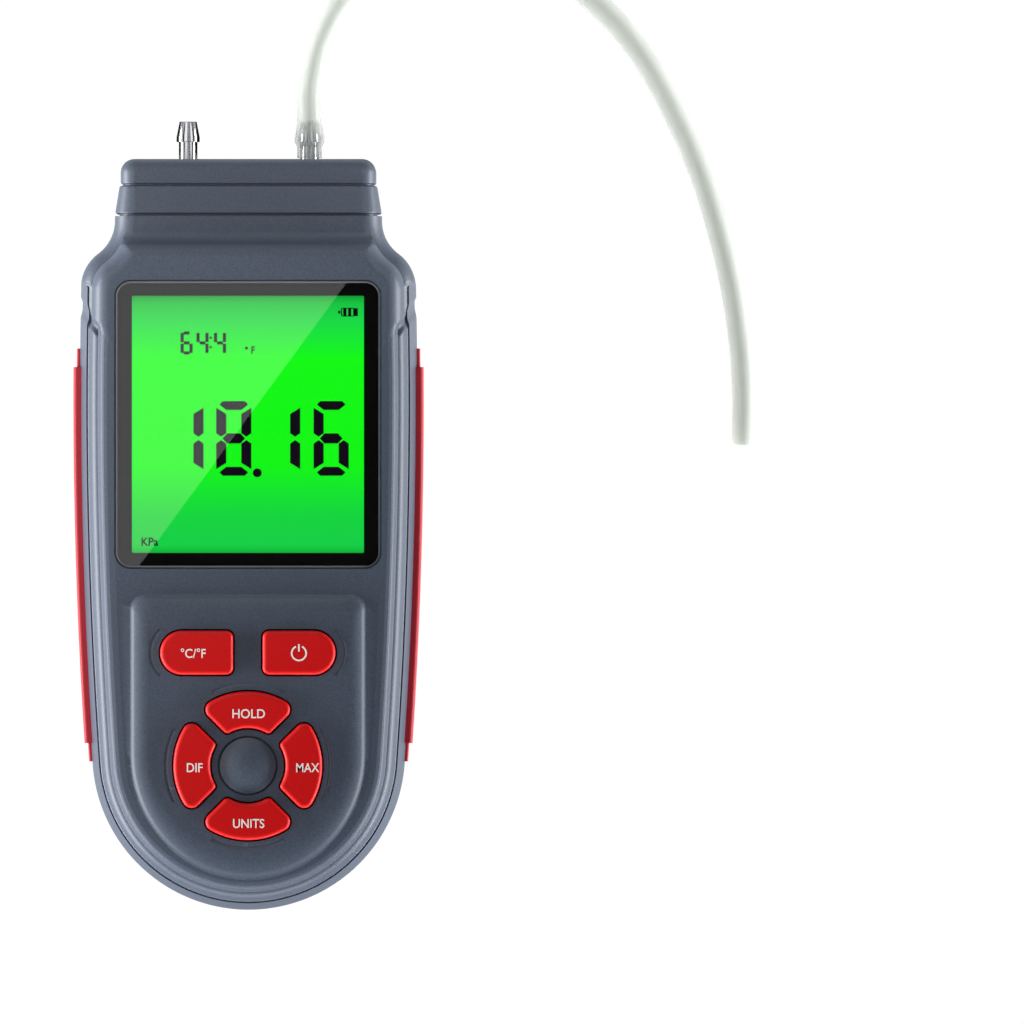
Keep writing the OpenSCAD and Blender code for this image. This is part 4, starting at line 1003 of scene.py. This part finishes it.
# %% Ports
bore_r, collar_r, collar_top, inner_end = 1.2, 3.9, -0.3, -13.0


def port(name, x):
    """A turned port. The profile's pairs are radius and distance from the cap's end face, from
    the inner end outward. Its outer edges are broken by e."""
    e = 0.08
    profile = [
        (bore_r, inner_end), (1.9, inner_end), (2.4, -10.0), (2.4, -9.2), (2.0, -9.2),
        (2.0, -8.15), (2.6, -8.15), (2.6, -sink_deep), (collar_r, -sink_deep),
        (collar_r, collar_top - e), (collar_r - e, collar_top), (shank_r, collar_top),
        (shank_r, nozzle_l - barb_l), (barb_r - e, nozzle_l - barb_l),
        (barb_r, nozzle_l - barb_l + e), (barb_r, nozzle_l - barb_l + land_l),
        (tip_r, nozzle_l - e), (tip_r - e, nozzle_l), (bore_r + e, nozzle_l),
        (bore_r, nozzle_l - e)]
    piece = lathe(name, profile, (x, y_face, nozzle_z), 96)
    piece.data.materials.append(chrome)
    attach(piece, "case")
    return piece


for name, x in (("left", -nozzle_x), ("right", nozzle_x)):
    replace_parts(port(name + "_port", x), name + "_nozzle")
print("ports at x =", -nozzle_x, "and", nozzle_x, "mm")

# %% [markdown]
# ## Display
#
# Behind the window lie a black printed frame and the glowing glass. The dark segments are thin
# shapes on the glass: seven-segment digits for the reading, smaller ones for the temperature, and
# a three-bar battery sign.

# %% Printed frame
def frame_piece(name, rim, opening, z0, z1):
    """A flat frame between two outlines with as many points each."""
    n = len(rim)
    points = [(x, y, z) for z in (z0, z1) for line in (rim, opening) for x, y in line]
    faces = []
    for i in range(n):
        q = (i + 1) % n
        faces += [[i, q, n + q, n + i], [2 * n + i, 3 * n + i, 3 * n + q, 2 * n + q],
                  [i, 2 * n + i, 2 * n + q, q], [n + i, n + q, 3 * n + q, 3 * n + i]]
    return make_mesh(name, points, faces)


mask_in, view_r, mask_z0, mask_z1 = 0.2, 0.3, ledge_z + 0.01, ledge_z + 0.15
mask = frame_piece("printed_frame", rounded(lens_w - 2 * mask_in, lens_l - 2 * mask_in, lens_r,
                                            0, lens_y),
                   rounded(view_w, view_l, view_r, 0, lens_y), mask_z0, mask_z1)
mask.data.materials.append(mask_ink)
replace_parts(mask, "lens_mask")
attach(mask, "case")
print("printed frame:", view_w, "by", view_l, "mm inside")

# %% [markdown]
# The window is a sheet of cast acrylic. Its cut edge is narrow and slanted and looks paler than
# the sheet, so the slanted faces get a material of their own. It could be a bevel modifier, but
# two outlines at two heights say the size of the cut plainly.

# %% Window
edge_cut = 0.32
lens_top = body_h - lens_sink
lens_turns = [(0, lens_top - edge_cut), (edge_cut, lens_top)]
lens = lid("window", [rounded(lens_w - 2 * d, lens_l - 2 * d, lens_r - d, 0, lens_y)
                      for d, _ in lens_turns], [z for _, z in lens_turns], lens_top - lens_t)
lens.data.materials.append(acrylic)
lens.data.materials.append(acrylic_edge)
for face in lens.data.polygons:
    if 0.2 < face.normal.z < 0.95:
        face.material_index = 1
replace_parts(lens, "display_lens")
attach(lens, "case")
print("window:", lens_w, "by", lens_l, "mm, cut faces:",
      sum(face.material_index for face in lens.data.polygons))

# %% [markdown]
# The display's figures are dark shapes on the green ground. A texture could draw them. Thin
# pieces of mesh keep their edges sharp at any distance, and one function draws every figure from
# its list of lit bars.

# %% Segments
lcd_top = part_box("lcd_panel")[1][2] / MM
mark_gap, mark_t, unit_gap, ink_t = 0.02, 0.03, 0.035, 0.012
SEGMENTS = {"0": "abcdef", "1": "bc", "2": "abged", "3": "abgcd", "4": "fgbc", "5": "afgcd",
            "6": "afgcde", "7": "abc", "8": "abcdefg", "9": "abcdfg"}


def glyph(char, x, y, t=1.08):
    """Outlines of one seven-segment digit about its centre. Verticals are mitred at the outer
    end and pointed at the middle, and the bars across are trapezoids. t is half a bar's width."""
    side = [(0, 0.36), (-t, 0.36 + 0.7 * t), (-t, 6.6), (t, 6.55 - 1.2 * t), (t, 0.36 + 0.7 * t)]
    top = [(-2.35, 7.1 + 0.85 * t), (-2.9, 7.5), (-3.05, 7.25), (-2.7 + t, 7.1 - 0.9 * t),
           (2.7 - t, 7.1 - 0.9 * t), (3.05, 7.25), (2.9, 7.5), (2.35, 7.1 + 0.85 * t)]
    middle = [(-2.45, 0), (-1.45, t), (1.45, t), (2.45, 0), (1.45, -t), (-1.45, -t)]
    shapes = {
        "f": [(u - 2.7, v) for u, v in side], "b": [(2.7 - u, v) for u, v in side],
        "e": [(u - 2.7, -v) for u, v in side], "c": [(2.7 - u, -v) for u, v in side],
        "a": top, "d": [(u, -v) for u, v in top], "g": middle}
    return [[(x + u, y + v) for u, v in shapes[s]] for s in SEGMENTS[char]]


def small_glyph(char, x, y, w=0.96, h=2.15, t=0.34):
    """Outlines of a small digit, whose bars meet at the corners. t is half a bar's width."""
    shapes = {"a": (-w + t, h - t, w - t, h + t), "d": (-w + t, -h - t, w - t, -h + t),
              "g": (-w + t, -t, w - t, t), "f": (-w - t, t / 2, -w + t, h),
              "b": (w - t, t / 2, w + t, h), "e": (-w - t, -h, -w + t, -t / 2),
              "c": (w - t, -h, w + t, -t / 2)}
    out = []
    for s in SEGMENTS[char]:
        x0, y0, x1, y1 = shapes[s]
        out.append([(x + x0, y + y0), (x + x1, y + y0), (x + x1, y + y1), (x + x0, y + y1)])
    return out


def flat_pieces(name, outlines, z, thick, made, body):
    """Thin upright shapes joined in one piece."""
    points, faces = [], []
    for outline in outlines:
        n, base = len(outline), len(points)
        points += [(x, y, z) for x, y in outline] + [(x, y, z + thick) for x, y in outline]
        faces += [[base + i for i in reversed(range(n))], [base + n + i for i in range(n)]]
        faces += [[base + i, base + (i + 1) % n, base + n + (i + 1) % n, base + n + i]
                  for i in range(n)]
    piece = make_mesh(name, points, faces)
    piece.data.materials.append(made)
    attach(piece, body)
    return piece


def dot(x, y, r):
    return arc(x, y, r, 0, 342, 19)


def bar(x0, y0, x1, y1):
    return [(x0, y0), (x1, y0), (x1, y1), (x0, y1)]


figure_y, small_y = 16.58, 37.13
FIGURES = (("1", -13.36), ("8", -3.06), ("1", 7.45), ("6", 17.9))
SMALL_FIGURES = (("6", -13.21), ("4", -9.79), ("4", -6.03))
# decimal point, the two dots between the small figures, and the degree dot: x, y, radius
DOTS = ((1.99, 9.18, 0.95), (-8.03, 38.25, 0.27),
        (-8.03, 36.23, 0.27), (-0.33, 36.01, 0.32))
# the battery sign: its tip, its shell and the charge in it
BATTERY_SIGN = ((19.4, 43.45, 19.88, 44.05), (20.01, 42.89, 20.26, 44.61),
                (20.48, 42.89, 21.17, 44.61), (21.55, 42.89, 22.2, 44.61),
                (22.63, 42.89, 23.62, 44.61), (20.26, 44.51, 22.74, 44.7),
                (20.26, 42.81, 22.74, 43.0))
outlines = []
for char, x in FIGURES:
    outlines += glyph(char, x, figure_y)
for char, x in SMALL_FIGURES:
    outlines += small_glyph(char, x, small_y)
outlines += [dot(*place_) for place_ in DOTS] + [bar(*sides) for sides in BATTERY_SIGN]
print("display marks:", len(outlines))
flat_pieces("display_segments", outlines, lcd_top + mark_gap, mark_t, segment_black, "case")

# %% [markdown]
# ## Words and signs
#
# The keys carry plain function words in a simple sans serif, and the display its units. Each is
# a text object turned to mesh, laid a hair above its surface.

# %% Lettering
CAPITAL = 0.73  # height of a capital letter as a share of the text's size


def word(name, text, cx, cy, z, height, made, body, squeeze=1.0, bold=0.0):
    curve = bpy.data.curves.new(name, "FONT")
    curve.body = text
    curve.size = height / CAPITAL * MM
    curve.align_x, curve.align_y = "CENTER", "CENTER"
    curve.offset = bold * MM
    curve.extrude = ink_t * MM
    curve.resolution_u = 6
    maker = link(bpy.data.objects.new(name + "_maker", curve))
    bpy.context.view_layer.update()
    mesh = bpy.data.meshes.new_from_object(
        maker.evaluated_get(bpy.context.evaluated_depsgraph_get()))
    bpy.data.objects.remove(maker)
    xs = [v.co.x for v in mesh.vertices]
    ys = [v.co.y for v in mesh.vertices]
    mid = Vector(((min(xs) + max(xs)) / 2, (min(ys) + max(ys)) / 2, 0))
    mesh.transform(Matrix.Translation((cx * MM, cy * MM, z * MM))
                   @ Matrix.Diagonal((squeeze, 1, 1, 1)) @ Matrix.Translation(-mid))
    piece = link(bpy.data.objects.new(name, mesh))
    piece.data.materials.append(made)
    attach(piece, body)
    return piece


label_z, label_h, label_bold, unit_bold = key_z + 0.008, 2.0, 0.03, 0.06
# key, its word, the word's centre and how far it is squeezed sideways
WORDS = (("temp_unit", "°C/°F", -11.7, wide_y - 0.1, 0.9),
         ("hold", "HOLD", 0.2, pad_y + 11.2, 0.95),
         ("dif", "DIF", -11.4, pad_y - 0.4, 0.9),
         ("max", "MAX", 12.9, pad_y - 0.4, 0.86),
         ("units", "UNITS", 0.2, pad_y - 12.4, 0.9))
for name, text, cx, cy, squeeze in WORDS:
    word(name + "_word", text, cx, cy, label_z, label_h, white_ink, name + "_button",
         squeeze, label_bold)
word("display_unit", "KPa", -21.12, -5.65, lcd_top + unit_gap, 1.8, segment_black, "case",
     0.95, unit_bold)
word("display_degree", "F", 1.09, 35.6, lcd_top + unit_gap, 1.6, segment_black, "case",
     0.85, unit_bold)

power_x, power_y = 11.0, wide_y - 0.1
sign_r, sign_w, stroke_low, stroke_high = 1.55, 0.36, 0.35, 1.95
ring = (arc(power_x, power_y, sign_r + sign_w / 2, 115, 425, 40)
        + arc(power_x, power_y, sign_r - sign_w / 2, 425, 115, 40))
stroke = bar(power_x - sign_w / 2, power_y + stroke_low, power_x + sign_w / 2,
             power_y + stroke_high)
flat_pieces("power_sign", [ring, stroke], label_z, ink_t, white_ink, "power_button")
print("words on the keys:", [text for _, text, *_ in WORDS])

# %% [markdown]
# ## Carried-over pieces
#
# The exact solids that need no finer mesh keep their shape and get a material each.

# %% Materials of the exact solids
KEPT = {
    "left_grip": grip_rubber, "right_grip": grip_rubber,
    "lcd_panel": lcd_green, "lcd_frame": black_plastic, "backlight_panel": guide_white,
    "zebra_strips": strip_grey, "main_board": board_green, "board_chips": black_plastic,
    "key_switches": black_plastic, "pressure_sensor": sensor_white,
    "left_inner_tube": inner_silicone, "right_inner_tube": inner_silicone,
    "nozzle_nuts": brass, "nozzle_seals": black_rubber, "battery_cover": housing_abs,
    "battery_cells": cell_blue, "battery_contacts": nickel, "battery_springs": nickel,
    "case_screws": zinc, "board_screws": zinc,
}
KEPT.update({name + "_stem": black_plastic for name in KEYS})
for name, made in KEPT.items():
    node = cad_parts[name]
    for slot in node.material_slots:
        slot.material = made
for name in ("left_grip", "right_grip", "battery_cover"):
    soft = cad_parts[name].modifiers.new("soft", "BEVEL")
    soft.width, soft.segments, soft.limit_method = 0.4 * MM, 3, "ANGLE"
    soft.angle_limit = math.radians(50)
print("materials given to", len(KEPT), "nodes")

# %% [markdown]
# ## Table and light
#
# A pale table under the instrument is lit past white, so it gives a clean ground and fills the
# flanks from below, less so round the near end. Seen from below it is clear. Long soft boxes
# stand low at the left, the right and the near end, and none at the far end, so slopes that face
# it stay dark. A large box hangs to the upper left. Its straight edge draws the diagonal sheen on
# the window.

# %% Table
def seen(tree, direct, mirrored, other):
    """A white emitter with one strength for the eye, one in mirrors, one for the rest."""
    path = add(tree, "ShaderNodeLightPath")
    eye = add(tree, "ShaderNodeMath", operation="MAXIMUM")
    tree.links.new(path.outputs["Is Camera Ray"], eye.inputs[0])
    tree.links.new(path.outputs["Is Transmission Ray"], eye.inputs[1])
    first = add(tree, "ShaderNodeMix", {"Factor": path.outputs["Is Glossy Ray"]})
    first.inputs[2].default_value, first.inputs[3].default_value = other, mirrored
    second = add(tree, "ShaderNodeMix", {"Factor": eye.outputs[0]})
    second.inputs[3].default_value = direct
    # less light comes up round the end away from the ports
    place = add(tree, "ShaderNodeTexCoord").outputs["Object"]
    split = add(tree, "ShaderNodeSeparateXYZ", {"Vector": place})
    fade = add(tree, "ShaderNodeMapRange", {"Value": split.outputs["Y"]}, From_Min=-0.11,
               From_Max=-0.03, To_Min=0.35, To_Max=1.0)
    dim = add(tree, "ShaderNodeMath", {0: first.outputs[0], 1: fade.outputs["Result"]},
              operation="MULTIPLY")
    tree.links.new(dim.outputs[0], second.inputs[2])
    return second.outputs[0]


table_half, table_z = 4, -0.15 * MM
floor_mesh = bpy.data.meshes.new("table")
floor_mesh.from_pydata([(x, y, 0) for x, y in bar(-table_half, -table_half, table_half,
                                                  table_half)], [], [[0, 1, 2, 3]])
table = link(bpy.data.objects.new("table", floor_mesh))
table.location.z = table_z
lit = material("lit white table", "000000", 0.9, Specular_IOR_Level=0.0,
               Emission_Color=(1, 1, 1, 1))
shader = lit.node_tree.nodes["Principled BSDF"]
lit.node_tree.links.new(seen(lit.node_tree, 1.02, 1.0, 2.2), shader.inputs["Emission Strength"])
# from below the table is clear, so the back of the instrument shows
geometry = add(lit.node_tree, "ShaderNodeNewGeometry")
clear = add(lit.node_tree, "ShaderNodeBsdfTransparent")
turned = add(lit.node_tree, "ShaderNodeMixShader", {0: geometry.outputs["Backfacing"],
                                                    1: shader.outputs["BSDF"],
                                                    2: clear.outputs["BSDF"]})
lit.node_tree.links.new(turned.outputs["Shader"],
                        lit.node_tree.nodes["Material Output"].inputs["Surface"])
table.data.materials.append(lit)
print("table:", 2 * table_half, "m wide")

# %% [markdown]
# The soft boxes stand low and far, so they light the leaning sides and leave the flat face dark.
# None is seen by the camera.

# %% Lights
def soft_box(name, place, size, power):
    """An area light that looks at the instrument. Place and size are in metres."""
    data = bpy.data.lights.new(name, "AREA")
    data.shape = "RECTANGLE"
    data.size, data.size_y = size
    data.energy = power
    box = link(bpy.data.objects.new(name, data))
    box.location = place
    box.rotation_euler = (light_aim - Vector(place)).to_track_quat("-Z", "Y").to_euler()
    box.visible_camera = False
    return box


light_aim = Vector((0, 0, 0.02))
soft_box("left_box", (-1.5, -0.4, 0.19), (1.8, 0.3), 62)
soft_box("right_box", (1.5, -0.4, 0.19), (1.8, 0.3), 50)
soft_box("near_box", (0, -1.6, 0.18), (2.0, 0.26), 22)
print("soft boxes: 3")

# %% [markdown]
# Polished metal shows only what stands round it. A white card hangs over the ports. A narrow black
# card below it for each port gives the dark middle, two at its sides break the bright bands, and
# one near the table darkens the edges. Only mirrors see them.

# %% Cards for the ports
def card(name, x0, x1, y0, y1, z, made):
    mesh = bpy.data.meshes.new(name)
    mesh.from_pydata([(x * MM, y * MM, z * MM) for x, y in bar(x0, y0, x1, y1)], [],
                     [[0, 1, 2, 3]])
    placed_card = link(bpy.data.objects.new(name, mesh))
    placed_card.data.materials.append(made)
    placed_card.visible_camera = placed_card.visible_diffuse = False
    placed_card.visible_shadow = placed_card.visible_transmission = False


black_card = material("black card", "050505", 0.9, Specular_IOR_Level=0.0)
white_card = material("white card", "ffffff", 0.9, Emission_Color=(1, 1, 1, 1),
                      Emission_Strength=0.8)
card_y0, card_y1, white_z, black_z = 79, 125, 100, 92
stripe_w, wing_x0, wing_x1 = 18, 72, 120
under_x, under_y0, under_y1, under_z = 52, 78, 92, 1
card("card_white", -80, 80, card_y0, card_y1, white_z, white_card)
for side in (-1, 1):
    middle = side * nozzle_x
    card("card_over", middle - stripe_w / 2, middle + stripe_w / 2, card_y0, card_y1, black_z,
         black_card)
card("card_left", -wing_x1, -wing_x0, card_y0, card_y1, black_z, black_card)
card("card_right", wing_x0, wing_x1, card_y0, card_y1, black_z, black_card)
card("card_under", -under_x, under_x, under_y0, under_y1, under_z, black_card)
print("port cards placed")

# %% [markdown]
# The sheen on the window ends in a straight line. Seen in the flat window from the camera, that
# line is the edge of the box above it, so the edge is placed by reflecting two points of the
# line upward.

# %% Box over the upper left
sheen_z, sheen_l, sheen_w, sheen_power = 0.2, 0.7, 0.5, 0.95
sheen_ends = ((20.9, 49.6), (-23.2, -10.6))


def mirrored_up(x, y):
    eye = camera.location
    p = Vector((x * MM, y * MM, body_h * MM))
    share = (sheen_z - p.z) / (eye.z - p.z)
    return Vector((p.x + (p.x - eye.x) * share, p.y + (p.y - eye.y) * share, sheen_z))


edge_a, edge_b = (mirrored_up(*p) for p in sheen_ends)
edge_run = (edge_a - edge_b).normalized()
edge_out = Vector((-edge_run.y, edge_run.x, 0))
data = bpy.data.lights.new("sheen_box", "AREA")
data.shape = "RECTANGLE"
data.size, data.size_y = sheen_l, sheen_w
data.energy = sheen_power
sheen = link(bpy.data.objects.new("sheen_box", data))
sheen.location = (edge_a + edge_b) / 2 + edge_out * sheen_w / 2
sheen.rotation_euler = (0, 0, math.atan2(edge_run.y, edge_run.x))
sheen.visible_camera = False
print("sheen box turned by", round(math.degrees(sheen.rotation_euler.z)), "degrees")

# %% [markdown]
# The room is white to the eye, so the ground behind has no edge. In mirrors it is bright low down
# and dark overhead, which draws soft highlights on every slope.

# %% World
world = bpy.data.worlds.new("studio")
bpy.context.scene.world = world
world.use_nodes = True
tree = world.node_tree
tree.nodes.clear()
place = add(tree, "ShaderNodeTexCoord").outputs["Generated"]
split = add(tree, "ShaderNodeSeparateXYZ", {"Vector": place})
low = add(tree, "ShaderNodeMapRange", {"Value": split.outputs["Z"]}, From_Min=0.0, From_Max=0.45,
          To_Min=0.8, To_Max=0.03)
low.interpolation_type = "SMOOTHSTEP"
near = add(tree, "ShaderNodeMapRange", {"Value": split.outputs["Y"]}, From_Min=-0.2,
           From_Max=0.8, To_Min=1.0, To_Max=0.2)
high = add(tree, "ShaderNodeMapRange", {"Value": split.outputs["Z"]}, From_Min=0.58, From_Max=0.98,
           To_Min=1.0, To_Max=0.03)
high.interpolation_type = "SMOOTHSTEP"
path = add(tree, "ShaderNodeLightPath")
both = add(tree, "ShaderNodeMix", {"Factor": path.outputs["Is Glossy Ray"],
                                   2: low.outputs["Result"], 3: high.outputs["Result"]})
low_front = add(tree, "ShaderNodeMapRange", {"Value": split.outputs["Y"]}, From_Min=-1.0,
                From_Max=-0.4, To_Min=0.5, To_Max=1.0)
level = add(tree, "ShaderNodeMath", {0: near.outputs["Result"], 1: low_front.outputs["Result"]},
            operation="MULTIPLY")
room = add(tree, "ShaderNodeMath", {0: both.outputs[0], 1: level.outputs[0]},
           operation="MULTIPLY")
sky = add(tree, "ShaderNodeMix", {"Factor": path.outputs["Is Camera Ray"], 2: room.outputs[0]})
sky.inputs[3].default_value = 1.0
back = add(tree, "ShaderNodeBackground", {"Strength": sky.outputs[0]}, Color=(1, 1, 1, 1))
add(tree, "ShaderNodeOutputWorld", {"Surface": back.outputs[0]})
bpy.context.scene.view_settings.view_transform = "Standard"
print("world nodes:", len(tree.nodes))
